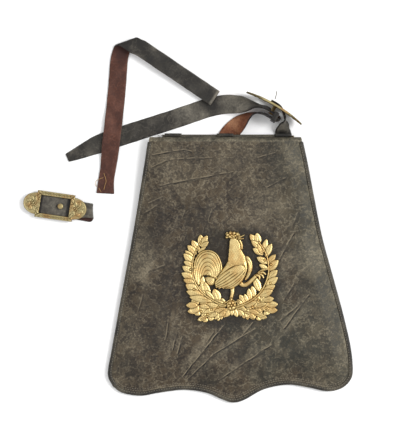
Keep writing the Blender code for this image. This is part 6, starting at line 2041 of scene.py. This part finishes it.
# %% [markdown]
# The head is small, and only its main forms show in the photo: a comb of round beads, the two halves of
# the open beak, a wattle below it and the eye. Bars and bosses are enough for that.

# %% Carve the head
COMB = [(-5.9, 51.1), (-6.3, 54.3), (-4.3, 56.9), (-2.4, 55.6), (-0.1, 58.5), (2.8, 56.6), (5.1, 58.2),
        (7.3, 55.9), (9.9, 56.9), (12.5, 53.4), (11.5, 49.8), (5.7, 49.2), (-0.4, 48.8), (-3.7, 49.5)]
COMB_BEADS = [(-4.6, 49.9, 1.9), (-3.6, 53.2, 2.3), (-0.2, 55.4, 2.2), (1.8, 52.2, 1.8), (4.8, 55.2, 2.3),
              (6.4, 52, 1.7), (9.2, 54, 2.2)]

lay_shape(badge, COMB, 4.2, 2.0)
for bead in COMB_BEADS:
    lay_disc(badge, bead[:2], bead[2], 4.8, groove=0.3)
lay_bar(badge, [(10.6, 49.8), (14.4, 51.0), (18.2, 53.0)], 3.4, 1.0, 4.6)
lay_bar(badge, [(10.6, 47.6), (14.0, 47.8), (17.4, 48.6)], 2.8, 1.0, 4.2)
lay_bar(badge, [(12.4, 45.6), (14.6, 40.6), (15.0, 35.2)], 3.6, 3.0, 4.4, groove=0.6)
lay_disc(badge, (8.2, 49.2), 1.4, 5.6, groove=0.8)
print("bird carved, highest point", round(float(badge.height.max()), 2), "mm")

# %% [markdown]
# Where the branches cross sits a rosette of six petals. Then the wax becomes metal: the same relief is
# cast and set on the flap.

# %% Carve the knot and cast the badge
BADGE_BACK_Z = 14.05
KNOT = np.array([1.4, -38.6])

lay_disc(badge, KNOT, 6.6, 3.0, flat=0.8)
for way in ways(np.arange(0.0, 360.0, 60.0) + 10.0):
    lay_disc(badge, KNOT + way * 3.7, 2.5, 4.3, groove=0.45)
lay_disc(badge, KNOT, 1.7, 4.9)
points, faces, hollow = cast(badge)
make_piece("badge_casting", points + (*BADGE_MIDDLE, BADGE_BACK_Z), faces, [gilt], "gilt", ("badge",),
           marks={"hollow": hollow})

# %% [markdown]
# ## Broken threads
#
# Where the slings tore, ends of the sewing thread stick out: tan ones at the lower end of the loose
# sling, and a grey one above the standing buckle. They are bare threads of 0.6 mm, and the grey one is
# drawn 1 mm thick so that it shows.

# %% Leave the broken threads
PICTURE_MIDDLE = (188.45, 220.0)
DOT_MM = 1.3
TAN_ENDS = [
    [(103.4, 172.8, 3), (105.6, 180.6, 3.2), (104.5, 185, 3), (103.4, 189.5, 3)],
    [(102.7, 177.5, 3), (97.8, 179.3, 3.6), (95.1, 181.5, 2.4), (94.9, 184.4, 1.2), (96.5, 186.4, 1.8)],
    [(98.3, 187.8, 3), (100.5, 191.6, 2.8)],
]
GREY_END = [(274.3, 100.4, 34.2), (275.5, 96, 34.6), (276, 92.5, 34)]
TAN_RADIUS = 0.3
GREY_RADIUS = 0.5


def thread_end(spots, radius):
    """A thread through places that are given across and down the picture, and at a height."""
    return wire(smooth_line([((x - PICTURE_MIDDLE[0]) * DOT_MM, (PICTURE_MIDDLE[1] - y) * DOT_MM, z)
                             for x, y, z in spots], 8), radius, 6)


make_piece("tan_thread_ends", *joined([thread_end(end, TAN_RADIUS) for end in TAN_ENDS]), [tan_thread],
           "flesh_leather")
make_piece("grey_thread_end", *thread_end(GREY_END, GREY_RADIUS), [dark_thread], "strap_leather")

# %% Print the frame's box and finish
print("frame box:", cad_box)
